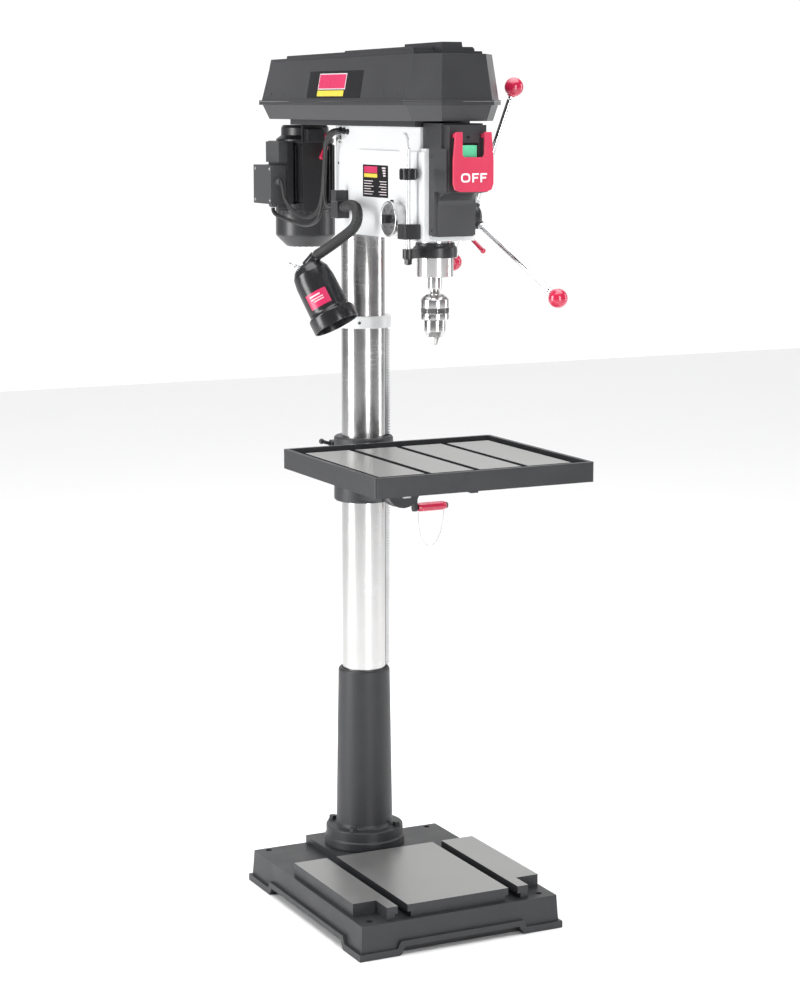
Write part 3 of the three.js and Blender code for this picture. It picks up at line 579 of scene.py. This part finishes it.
bm = from_cad("front_cover")
ease_edges(bm, 1.6, 3, 30)
for f in bm.faces:
    c = f.calc_center_median()
    if f.normal.y < -0.9 and c.z < 1480 and c.y < -410:
        f.material_index = 1
emit("front_cover_detail", bm, "frame", [moulded, cover_grey], "front_cover", smooth=35)
bm = bmesh.new()
cap_screw(bm, (0, -465, 1603), (0, -1, 0), 3.4, 1.2)
for z in (1424, 1565):
    cap_screw(bm, (-45, -403, z), (-1, 0, 0), 2.6, 0.9)
    cap_screw(bm, (45, -403, z), (1, 0, 0), 2.6, 0.9)
for x0, x1, z0, z1 in ((-20.5, -17, 1562, 1592), (17, 20.5, 1562, 1592), (-17, 17, 1562, 1565.5),
                       (-17, 17, 1588.5, 1592)):
    block(bm, x0, x1, -467.5, -464.5, z0, z1)
emit("switch_frame", bm, "frame", badge_black)

bm = from_cad("stop_paddle")
ease_edges(bm, 1.5, 3, 30)
emit("paddle_detail", bm, "stop", paddle_red, "stop_paddle", smooth=35)
bm = bmesh.new()
low, high, face = 1519, 1536, -490


def stroke(points):
    sweep(bm, points, ALONG_Y, face - 0.5, face + 0.2)


def bar(x0, x1, z0, z1):
    stroke([(x0, z0), (x1, z0), (x1, z1), (x0, z1)])


middle = (low + high) / 2
rim = rounded([(-27.5, low), (-8, low), (-8, high), (-27.5, high)], 8, True)
hole = rounded([(-24.3, low + 3.2), (-11.2, low + 3.2), (-11.2, high - 3.2), (-24.3, high - 3.2)], 5, True)
for depth, flip in ((face - 0.5, False), (face + 0.2, True)):
    outer = [bm.verts.new((x, depth, z)) for x, z in rim]
    inner = [bm.verts.new((x, depth, z)) for x, z in hole]
    for i in range(len(rim)):
        j = (i + 1) % len(rim)
        bm.faces.new((outer[i], outer[j], inner[j], inner[i]))
    if flip:
        for line_a, line_b in ((first_outer, outer), (first_inner, inner)):
            for i in range(len(rim)):
                j = (i + 1) % len(rim)
                bm.faces.new((line_a[i], line_a[j], line_b[j], line_b[i]))
    else:
        first_outer, first_inner = outer, inner
for left in (-3.5, 14):
    bar(left, left + 3.4, low, high)
    bar(left + 3.4, left + 14, high - 3.2, high)
    bar(left + 3.4, left + 12, middle - 1.6, middle + 1.6)
emit("paddle_lettering", bm, "stop", white_ink, weigh=False)

bm = from_cad("start_button")
ease_edges(bm, 0.9, 3, 30)
emit("start_detail", bm, "start", mint, "start_button", smooth=35)

# ---------------------------------------------------------------- belt guard
bm = from_cad("guard_tray")
ease_edges(bm, 1.2, 2, 18)
emit("guard_tray_detail", bm, "frame", moulded, "guard_tray", smooth=35)
bm = from_cad("guard_lid")
ease_edges(bm, 1.3, 3, 16)
emit("guard_lid_detail", bm, "lid", moulded, "guard_lid", smooth=35)


def guard_wall(z, side=-1):
    """x of the lid's sloping side wall at a height."""
    rise = (z - 1670.3) / (1755.5 - 1670.3)
    return side * (101 - 16 * rise)


bm = bmesh.new()
plate(bm, -197, 60, 1677, 1731, 0, 0.5, 0, guard_wall)
plate(bm, -122, 9, 1694, 1726, 0, 0.9, 3, guard_wall)
plate(bm, -119.5, 6.5, 1696, 1724, 0, 1.15, 1, guard_wall)
plate(bm, -117, 9, 1680.5, 1692, 0, 0.9, 2, guard_wall)
emit("guard_badge", bm, "lid", [badge_black, badge_red, badge_yellow, badge_pale])
bm = bmesh.new()
for y in (252, 188, -298, -361):
    for side in (-1, 1):
        cap_screw(bm, (guard_wall(1686, side), y, 1686), (side, 0, 0.18), 2.8, 0.9)
emit("guard_screws", bm, "lid", smooth_black)

# ---------------------------------------------------------------- pulleys and belts
STEP_LOW, STEP_HIGH = 1642, 14


def cone(name, node, body, radii, bore, y):
    bm = bmesh.new()
    profile = [(bore, STEP_LOW)]
    for i, r in enumerate(radii):
        z = STEP_LOW + i * STEP_HIGH
        profile += [(r, z), (r, z + 1.8), (r - 8, z + 4.2), (r - 8, z + 9.8), (r, z + 12.2), (r,
                    z + STEP_HIGH)]
    profile.append((bore, STEP_LOW + 4 * STEP_HIGH))
    lathe(bm, profile, Matrix.Translation((0, y, 0)), 64, 0, 0.5, True)
    emit(name, bm, body, alloy, node, weigh=False)


cone("spindle_cone", "spindle_pulley", "front_sheave", [76, 64, 52, 40], 12.4, -330)
cone("motor_cone", "motor_pulley", "rotor", [54, 44, 34, 24], 9.8, 294)
cone("idler_cone", "idler_pulley", "idler", [40, 52, 64, 76], 8.3, -80)
for node in ("front_belt", "rear_belt"):
    restyle(node, rubber)

# ---------------------------------------------------------------- motor
my = 294
at_motor = Matrix.Translation((0, my, 0))
bm = bmesh.new()
lathe(bm, [(0, 1440), (65, 1440), (65, 1452), (58.5, 1455), (58.5, 1578), (63, 1582), (63, 1590), (52,
      1598),
           (52, 1614), (48, 1620), (12, 1620), (12, 1616), (0, 1616)], at_motor, 80, 0, 1.4)
for i in range(34):
    turn = 2 * pi * (i + 0.5) / 34
    if abs(turn - 1.5 * pi) < 0.5:
        continue
    if abs(turn - pi) < 0.78:
        continue
    place = at_motor @ Matrix.Rotation(turn, 4, "Z")
    start = len(bm.faces)
    outline = [(57.5, 1455), (64.6, 1457), (64.6, 1576), (57.5, 1580)]
    sweep(bm, outline, place @ ALONG_Y, -1.5, 1.5)
block(bm, -30, 6, my - 65.6, my - 50, 1470, 1580)
block(bm, -65.5, -50, my - 50, my + 50, 1452, 1586)
emit("motor_detail", bm, "motor", black_paint, "motor_body", smooth=35)

bm = bmesh.new()
lathe(bm, [(0, 1358), (41, 1358), (65, 1382), (65, 1439.7), (62, 1439.7), (62, 1384), (40, 1361), (0,
      1361)],
      at_motor, 80, 0, 3.0)
for i in range(16):
    turn = 2 * pi * i / 16
    place = at_motor @ Matrix.Rotation(turn, 4, "Z")
    sweep(bm, [(26, -2.2), (37, -2.2), (37, 2.2), (26, 2.2)], place, 1357.4, 1358.2, 1)
lathe(bm, [(0, 1357.3), (15, 1357.3), (16, 1358.1), (0, 1358.1)], at_motor, 40, 1)
for i in range(28):
    turn = 2 * pi * i / 28
    place = at_motor @ Matrix.Rotation(turn, 4, "Z")
    sweep(bm, [(64.4, -2.0), (65.25, -2.0), (65.25, 2.0), (64.4, 2.0)], place, 1424, 1436, 1)
emit("motor_cowl_detail", bm, "motor", [moulded, dark_trim_and_hole_shade], "motor_fan_cowl", smooth=45)

bm = from_cad("motor_mount_plate")
ease_edges(bm, 1.0, 2, 30)
emit("motor_plate_detail", bm, "motor", black_paint, "motor_mount_plate", smooth=35)
bm = bmesh.new()
rod(bm, (6.4, my - 84, 1598), (14, my - 84, 1598), 5)
rod(bm, (10, my - 84, 1598), (10, my - 90, 1574), 3.2)
rod(bm, (10, my - 90, 1576), (-3, my - 93, 1548), 5.2, ease=2.0, end=6.2)
emit("tension_lever_detail", bm, "tensioner", crimson, "tension_lever", weigh=False,
     smooth=50)

bm = bmesh.new()
block(bm, -102, -65.6, my - 48, my + 48, 1452, 1535)
ease_edges(bm, 5, 4, 30)
lathe(bm, [(0, -0.1), (9, -0.1), (9, 5), (7, 5), (7, 9), (5.4, 11), (0, 11)], aim((-84, my - 47.6, 1500),
      (0, -1, 0)),
      24, 0, 0.6)
lathe(bm, [(0, -0.5), (9, -0.5), (9, 4), (6.4, 7), (0, 7)], aim((-88, my - 26, 1452), (0, 0, -1)), 24, 0,
      0.6)
emit("terminal_box_detail", bm, "motor", cover_grey, "terminal_box", smooth=40)
bm = bmesh.new()
for y, z in ((my - 40, 1460), (my + 40, 1460), (my - 40, 1527), (my + 40, 1527)):
    cap_screw(bm, (-101.6, y, z), (-1, 0, 0), 3.2, 0.9)
emit("terminal_screws", bm, "motor", machined)
bm = bmesh.new()
block(bm, -86, -65.6, my - 54, my + 16, 1541, 1585)
ease_edges(bm, 7, 4, 30)
emit("capacitor_detail", bm, "motor", cover_grey, "capacitor_cover", smooth=40)

# ---------------------------------------------------------------- leads
inlet = -51.6
routes = {
    "motor_lead": (4.2, 160, [
        (-84, 236.2, 1500), (-84, 230.5, 1498), (-83.5, 224, 1487), (-81, 216, 1462), (-75, 185, 1438),
        (-69, 135, 1428), (-64, 92, 1442), (-62, 70, 1472), (-61, 59, 1537), (-61, 52, 1580), (-61, 36,
                                                                                               1603),
        (-61.5, 10, 1611), (-58, -3, 1612), (inlet, -3.4, 1612)]),
    "switch_lead": (4.2, 180, [
        (-88, 268, 1443.9), (-88, 266.4, 1437), (-87, 256, 1430), (-84, 235, 1425), (-78, 180, 1417),
        (-74, 118, 1413), (-73, 66, 1428), (-72, 44, 1468), (-71, 34, 1530), (-71, 28, 1584), (-70, 8,
                                                                                               1604),
        (-65, -14, 1610), (-58, -20, 1611), (inlet, -20.4, 1611)]),
    "lamp_lead": (3.0, 140, [
        (-68, -16.8, 1456), (-68.6, -10, 1455.6), (-71, -3, 1455), (-77, 10, 1458), (-80, 16, 1478),
        (-80, 14, 1540), (-79, 8, 1580), (-75, -14, 1602), (-67, -32, 1608), (-58, -37, 1609),
        (inlet, -37.4, 1609)])}
for name, (radius, steps, points) in routes.items():
    bm = bmesh.new()
    route, length = spline(points, steps)
    tube(bm, route, radius, 18)
    lathe(bm, [(0, -0.2), (radius + 3, -0.2), (radius + 2.6, 2.4), (radius + 0.2, 5), (0, 5)],
          aim((-51.2, points[-1][1], points[-1][2]), (-1, 0, 0)), 24, 0, 0.5)
    emit(name + "_skin", bm, "frame", rubber, name, weigh=False, smooth=60)

# ---------------------------------------------------------------- lamp
bm = from_cad("lamp_bracket")
ease_edges(bm, 3.0, 3, 30)
lathe(bm, [(0, -0.5), (12, -0.5), (12, 3.0), (9, 4.5), (0, 4.5)], aim((-68, -22, 1456), (-1, 0, 0)), 24,
      0, 0.8)
emit("lamp_bracket_detail", bm, "frame", moulded, "lamp_bracket", smooth=40)

goose = [(-68, -52, 1456), (-69, -62, 1457.5), (-78, -105, 1463), (-88, -150, 1461), (-95, -174, 1451),
         (-100, -182, 1434), (-107, -175, 1418), (-120, -152, 1400), (-132, -122, 1382), (-138, -94, 1369),
         (-140.6, -81, 1363.2)]
bm = bmesh.new()
steps = 480
route, length = spline(goose, steps)
ribs = round(length / 4.2)
radii = [10.55 + 0.45 * cos(2 * pi * ribs * i / steps) for i in range(steps + 1)]
tube(bm, route, radii, 24)
emit("gooseneck_ribs", bm, "lamp", rubber, "gooseneck", weigh=False, smooth=80)

apex = Vector((-158, -62, 1345))
mouth = Vector((-115, -118, 1222))
axis = (mouth - apex).normalized()
shade_frame = aim(apex, axis, (-0.9, -0.2, 0))
bm = bmesh.new()
lathe(bm, [(0, 0), (22, 3), (31, 10), (38, 22), (41, 42), (42, 106), (43.5, 110), (47, 112), (48.5, 115),
      (48.5, 142),
           (46, 142), (46, 116), (41, 111), (39.4, 106), (38.5, 42), (35.5, 24), (29, 13), (20, 6.5), (0,
                                                                                                       3)],
      shade_frame, 88, 0, 1.2)
rod(bm, apex + axis * 2, apex + axis * 26, 14, 32)
rod(bm, (-141.5, -76, 1361), apex + axis * 8, 12.4, 32, ease=1.5, end=14)
emit("lamp_shade_detail", bm, "lamp", smooth_black, "lamp_shade", weigh=False, smooth=50)

bm = bmesh.new()
lathe(bm, [(0, 118), (10, 116.5), (18, 113), (24.5, 106), (27.6, 97), (28, 88), (26, 79), (22, 70), (16,
      60), (13.5, 54),
           (13.5, 27), (0, 27)], shade_frame, 48, 0, 1.0)
emit("bulb_detail", bm, "lamp", glass, "lamp_bulb", weigh=False)

dome = apex + axis * 38
switch_axis = Vector((-0.73, 0.4, 0.56)).normalized()
place = aim(dome, switch_axis)
bm = bmesh.new()
lathe(bm, [(0, 36), (8.2, 36), (8.2, 43.5), (6.4, 44.5), (6.4, 48), (5, 49.6), (3.2, 49.8), (3.2, 48),
      (0, 48)],
      place, 6, 0, 0.0)
lathe(bm, [(0, 36), (6.0, 36), (6.0, 49), (5, 50), (3.4, 50), (3.2, 48), (0, 48)], place, 32, 0, 0.4)
emit("lamp_switch_base", bm, "lamp", chrome, weigh=False, smooth=30)
bm = bmesh.new()
lathe(bm, [(0, 51), (1.7, 51), (2.0, 56), (2.4, 60), (2.4, 62), (1.4, 63.8), (0, 64)], place, 24, 0, 0.3)
emit("lamp_toggle_detail", bm, "lamp_toggle", chrome, "lamp_switch", weigh=False, smooth=50)

# the plain red sticker follows the shade's round wall on the side towards the front left
camera_at = FROM_FRAME @ Vector((-2.1245, -4.39245, 1.6673))
local = shade_frame.inverted() @ camera_at
facing = atan2(local.y, local.x)
bm = bmesh.new()


def sticker(turn0, turn1, z0, z1, lift, mat):
    grid = []
    for k in range(2):
        z = (z0, z1)[k]
        row = []
        for i in range(17):
            t = facing + turn0 + (turn1 - turn0) * i / 16
            r = 41 + (z - 42) / 64 + lift
            row.append(bm.verts.new(shade_frame @ Vector((r * cos(t), r * sin(t), z))))
        grid.append(row)
    under = []
    for k in range(2):
        z = (z0, z1)[k]
        row = []
        for i in range(17):
            t = facing + turn0 + (turn1 - turn0) * i / 16
            r = 41 + (z - 42) / 64 - 0.3
            row.append(bm.verts.new(shade_frame @ Vector((r * cos(t), r * sin(t), z))))
        under.append(row)
    for i in range(16):
        bm.faces.new((grid[0][i], grid[0][i + 1], grid[1][i + 1], grid[1][i])).material_index = mat
        bm.faces.new((under[0][i], under[1][i], under[1][i + 1], under[0][i + 1])).material_index = mat
        bm.faces.new((grid[0][i], under[0][i], under[0][i + 1], grid[0][i + 1])).material_index = mat
        bm.faces.new((grid[1][i + 1], under[1][i + 1], under[1][i], grid[1][i])).material_index = mat
    for i in (0, 16):
        bm.faces.new((grid[0][i], grid[1][i], under[1][i], under[0][i])).material_index = mat


sticker(-0.32, 0.85, 66, 98, 0.25, 0)
sticker(0.05, 0.62, 72, 75, 0.4, 1)
sticker(-0.05, 0.62, 79, 81, 0.4, 1)
sticker(-0.05, 0.5, 84, 86, 0.4, 1)
emit("lamp_sticker", bm, "lamp", [badge_red, badge_pale], smooth=50)

# ---------------------------------------------------------------- quill, depth stop, chuck
SY = -330
line = Matrix.Translation((0, SY, 0))
bm = bmesh.new()
lathe(bm, [(14.5, 1331), (36, 1331), (36, 1560), (14.5, 1560)], line, 96, 0, 1.2, True)
emit("quill_detail", bm, "quill_slide", machined, "quill", weigh=False)
bm = from_cad("quill_collar")
ease_edges(bm, 1.5, 3, 32)
emit("quill_collar_detail", bm, "quill_slide", black_paint, "quill_collar", smooth=45)
bm = bmesh.new()
lathe(bm, [(28, 1398.2), (41, 1398.2), (41, 1399.6), (28, 1399.6)], line, 80, 0, 0.4, True)
dx, dy = -74, -360
at_rod = Matrix.Translation((dx, dy, 0))
profile = [(0, 1369.6), (4.5, 1369.6)]
z = 1400
while z < 1576:
    profile += [(4.5, z), (4.15, z + 0.35), (4.15, z + 0.85), (4.5, z + 1.2)]
    z += 10
profile += [(4.5, 1580.5), (3.2, 1582), (0, 1582)]
bm = bmesh.new()
lathe(bm, profile, at_rod, 40, 0)
emit("depth_rod_detail", bm, "quill_slide", chrome, "depth_rod", weigh=False, smooth=30)
bm = bmesh.new()
hex_bolt(bm, (dx, dy, 1369.6), (0, 0, -1), 14.4, 9, 0, 8.5)
lathe(bm, [(0, 1356.9), (4.2, 1357.6), (4.2, 1361), (0, 1361)], at_rod, 24)
emit("depth_rod_nut", bm, "quill_slide", black_paint, weigh=False, smooth=30)
bm = bmesh.new()
knurl(bm, 17.5, 1523, 1541, at_rod, 48, 1.0, 0, 4.8)
lathe(bm, [(4.8, 1521), (16, 1521), (16.2, 1543), (4.8, 1543)], at_rod, 64, 0, 0.8, True)
emit("depth_nut_detail", bm, "depth_stop", smooth_black, "depth_nut", weigh=False, smooth=30)
bm = from_cad("depth_guide")
ease_edges(bm, 2.0, 3, 34)
emit("depth_guide_detail", bm, "frame", black_paint, "depth_guide", smooth=40)

bm = bmesh.new()
lathe(bm, [(0, 1285), (8, 1285), (8.6, 1298), (11, 1303), (14, 1308), (14, 1331)], line, 56, 0, 0.8)
lathe(bm, [(14, 1331), (14, 1590), (12, 1592), (12, 1712), (0, 1712)], line, 56)
emit("spindle_detail", bm, "spindle", machined, "spindle", weigh=False, smooth=35)
bm = bmesh.new()
lathe(bm, [(0, 1284), (9, 1284), (9, 1297.5), (12, 1297.5), (17, 1296), (24, 1291), (27.5, 1286), (27.5,
      1270),
           (26.4, 1269.5), (26.4, 1260), (27.5, 1259), (27.5, 1247.5), (26, 1246), (15, 1246), (15,
                                                                                                1276),
                                                                                                (0, 1276)],
      line, 88, 0, 0.7)
knurl(bm, 27.6, 1260.2, 1269.2, line, 46, 1.3, 1, 25)
# the three chuck key holes are drawn as flat dark discs: painted shade standing in for the holes' dark insides
for i in range(3):
    turn = radians(100 + 120 * i)
    out = Vector((cos(turn), sin(turn), 0))
    lathe(bm, [(0, 27.3), (3.4, 27.3), (3.4, 27.75), (0, 27.75)], aim(Vector((0, SY, 1253)), out), 24, 1)
emit("chuck_body_detail", bm, "spindle", [machined, dark_trim_and_hole_shade], "chuck_body", weigh=False, smooth=32)
bm = bmesh.new()
lathe(bm, [(15.3, 1245.7), (21, 1245.7), (21, 1224), (15, 1212), (12.5, 1212), (15.3, 1222)], line, 72,
      0, 0.7, True)
emit("chuck_sleeve_detail", bm, "chuck_ring", machined, "chuck_sleeve", weigh=False, smooth=35)
for i in range(1, 4):
    bm = from_cad(f"chuck_jaw_{i}")
    ease_edges(bm, 0.4, 2, 30)
    emit(f"chuck_jaw_detail_{i}", bm, f"jaw_{i}", machined, f"chuck_jaw_{i}")

# ---------------------------------------------------------------- feed shaft, handles, spring, lock
PY, PZ = -284, 1443
at_feed = aim((0, PY, PZ), (1, 0, 0), (0, 1, 0))
bm = bmesh.new()
lathe(bm, [(0, -72), (9, -72), (9, 116), (0, 116)], at_feed, 40, 0, 0.8)
emit("feed_shaft_detail", bm, "feed", machined, "feed_shaft", weigh=False)
bm = bmesh.new()
lathe(bm, [(9.3, 62.6), (23, 62.6), (23, 74), (17, 76), (17, 86), (24, 91), (25.5, 98), (25.5, 111), (22,
      117),
           (14, 120), (9.3, 120)], at_feed, 64, 0, 1.6, True)
TILT, PHASE, REACH, KNOB = radians(17.5), 5.7, 269, 19
hub = Vector((104, PY, PZ))
ways = []
for i in range(3):
    turn = Matrix.Rotation(radians(PHASE + 120 * i), 3, "X")
    ways.append(turn @ Vector((sin(TILT), 0, cos(TILT))))
for way in ways:
    lathe(bm, [(0, 14), (9.5, 14), (9.5, 28.5), (7.5, 30), (0, 30)], aim(hub, way), 32, 0, 0.8)
emit("feed_hub_detail", bm, "feed", black_paint, "feed_hub", weigh=False, smooth=40)
for i, way in enumerate(ways, 1):
    bm = bmesh.new()
    end = REACH - KNOB
    lathe(bm, [(0, 27), (5.5, 27), (5.5, end - 8), (4.6, end - 5), (4.6, end), (0, end)], aim(hub, way),
          36, 0, 0.8)
    lathe(bm, [(0, 29.5), (7.8, 29.5), (7.8, 36), (0, 36)], aim(hub, way), 6, 0)
    emit(f"feed_handle_detail_{i}", bm, "feed", chrome, f"feed_handle_{i}", weigh=False,
         smooth=30)
    bm = bmesh.new()
    sphere(bm, KNOB, None, 0, 56, aim(hub + way * REACH, way))
    lathe(bm, [(0, -KNOB - 0.6), (7.2, -KNOB - 0.6), (8.2, -KNOB + 2.5), (0, -KNOB + 2.5)],
          aim(hub + way * REACH, way),
          32, 0, 0.5)
    emit(f"knob_detail_{i}", bm, "feed", crimson, f"handle_knob_{i}", weigh=False, smooth=50)

bm = bmesh.new()
lathe(bm, [(0, -80), (30, -80), (32.5, -81.2), (35, -80.4), (35, -75), (32, -74), (32, -55.3), (28,
      -55.3), (28, -74),
           (0, -74)], at_feed, 88, 0, 0.7)
for i in range(4):
    turn = radians(45 + 90 * i)
    lathe(bm, [(0, -80.4), (2.6, -80.4), (2.6, -79.8), (0, -79.8)],
          at_feed @ Matrix.Translation((22 * cos(turn), 22 * sin(turn), 0)), 20, 1)
emit("spring_housing_detail", bm, "frame", [turned_x, dark_trim_and_hole_shade], "spring_housing", weigh=False,
     smooth=30)
bm = bmesh.new()
knob = [(-8.5, -8.5), (8.5, -8.5), (8.5, 8.5), (-8.5, 8.5)]
sweep(bm, rounded(knob, 2, True), at_feed, -90, -79.5)
cap_screw(bm, (-72, PY, PZ + 32), (0, 0, 1), 4, 5)
emit("spring_knob", bm, "frame", smooth_black, smooth=35)
restyle("return_spring", ground)

bm = bmesh.new()
rod(bm, (55.3, -352, 1409), (70, -352, 1409), 7.5, 32, ease=1.0)
rod(bm, (64, -352, 1409), (70, -398, 1383), 3.6, 24, ease=1.0, end=4.4)
sphere(bm, 5.4, (70, -398, 1383), 0, 28)
emit("quill_lock_detail", bm, "quill_lock", crimson, "quill_lock_lever", weigh=False,
     smooth=50)

restyle("motor_shaft", machined)

# ---------------------------------------------------------------- floor, light, camera
bm = bmesh.new()
for x, y in ((-9, -9), (9, -9), (9, 9), (-9, 9)):
    bm.verts.new((x, y, -0.0005))
bm.faces.new(bm.verts)
mesh = bpy.data.meshes.new("floor")
bm.to_mesh(mesh)
bm.free()
floor = bpy.data.objects.new("floor", mesh)
scene.collection.objects.link(floor)
mesh.materials.append(material("floor_paint", (0.86, 0.86, 0.86), 0.6, vary=0.01, grain=20, bump=0.0,
                      blotch=1.2))

world = bpy.data.worlds.new("studio")
scene.world = world
world.use_nodes = True
nodes, links = world.node_tree.nodes, world.node_tree.links
# The room is pale behind the machine and dimmer in front of it.
way = nodes.new("ShaderNodeTexCoord")
facing_room = nodes.new("ShaderNodeVectorMath")
facing_room.operation = "DOT_PRODUCT"
facing_room.inputs[1].default_value = (0.442, 0.897, 0.0)
links.new(way.outputs["Generated"], facing_room.inputs[0])
tone = nodes.new("ShaderNodeValToRGB")
tone.color_ramp.elements[0].position = 0.62
tone.color_ramp.elements[0].color = (0.20, 0.20, 0.21, 1)
tone.color_ramp.elements[1].position = 0.88
tone.color_ramp.elements[1].color = (1, 1, 1, 1)
links.new(facing_room.outputs["Value"], tone.inputs["Fac"])
links.new(tone.outputs["Color"], nodes["Background"].inputs["Color"])
nodes["Background"].inputs["Strength"].default_value = 1.05


def softbox(name, at, towards, width, height, power):
    light = bpy.data.lights.new(name, "AREA")
    light.shape = "RECTANGLE"
    light.size, light.size_y, light.energy = width, height, power
    lamp = bpy.data.objects.new(name, light)
    scene.collection.objects.link(lamp)
    lamp.location = at
    lamp.rotation_euler = (Vector(towards) - Vector(at)).to_track_quat("-Z", "Y").to_euler()


softbox("left_box", (-3.0, 0.25, 1.5), (0, 0, 1.2), 1.1, 2.8, 95)
softbox("front_box", (-0.1, -3.4, 1.5), (0, 0, 1.2), 0.7, 2.8, 60)
softbox("right_box", (3.2, -0.9, 1.7), (0, 0, 1.1), 0.7, 2.4, 30)
softbox("top_box", (0, 0.2, 4.2), (0, 0.2, 0), 4.6, 4.6, 120)
sky = bpy.data.lights.new("overhead", "SUN")
sky.energy = 2.3
sky.angle = radians(70)
overhead = bpy.data.objects.new("overhead", sky)
scene.collection.objects.link(overhead)
scene.view_settings.view_transform = "Standard"

camera = bpy.data.cameras.new("camera")
camera.lens, camera.sensor_width = 85.28, 36
eye = bpy.data.objects.new("camera", camera)
scene.collection.objects.link(eye)
eye.location = (-2.1245, -4.39245, 1.6673)
eye.rotation_euler = (radians(90 - 9.517), 0, radians(-26.258))
scene.camera = eye
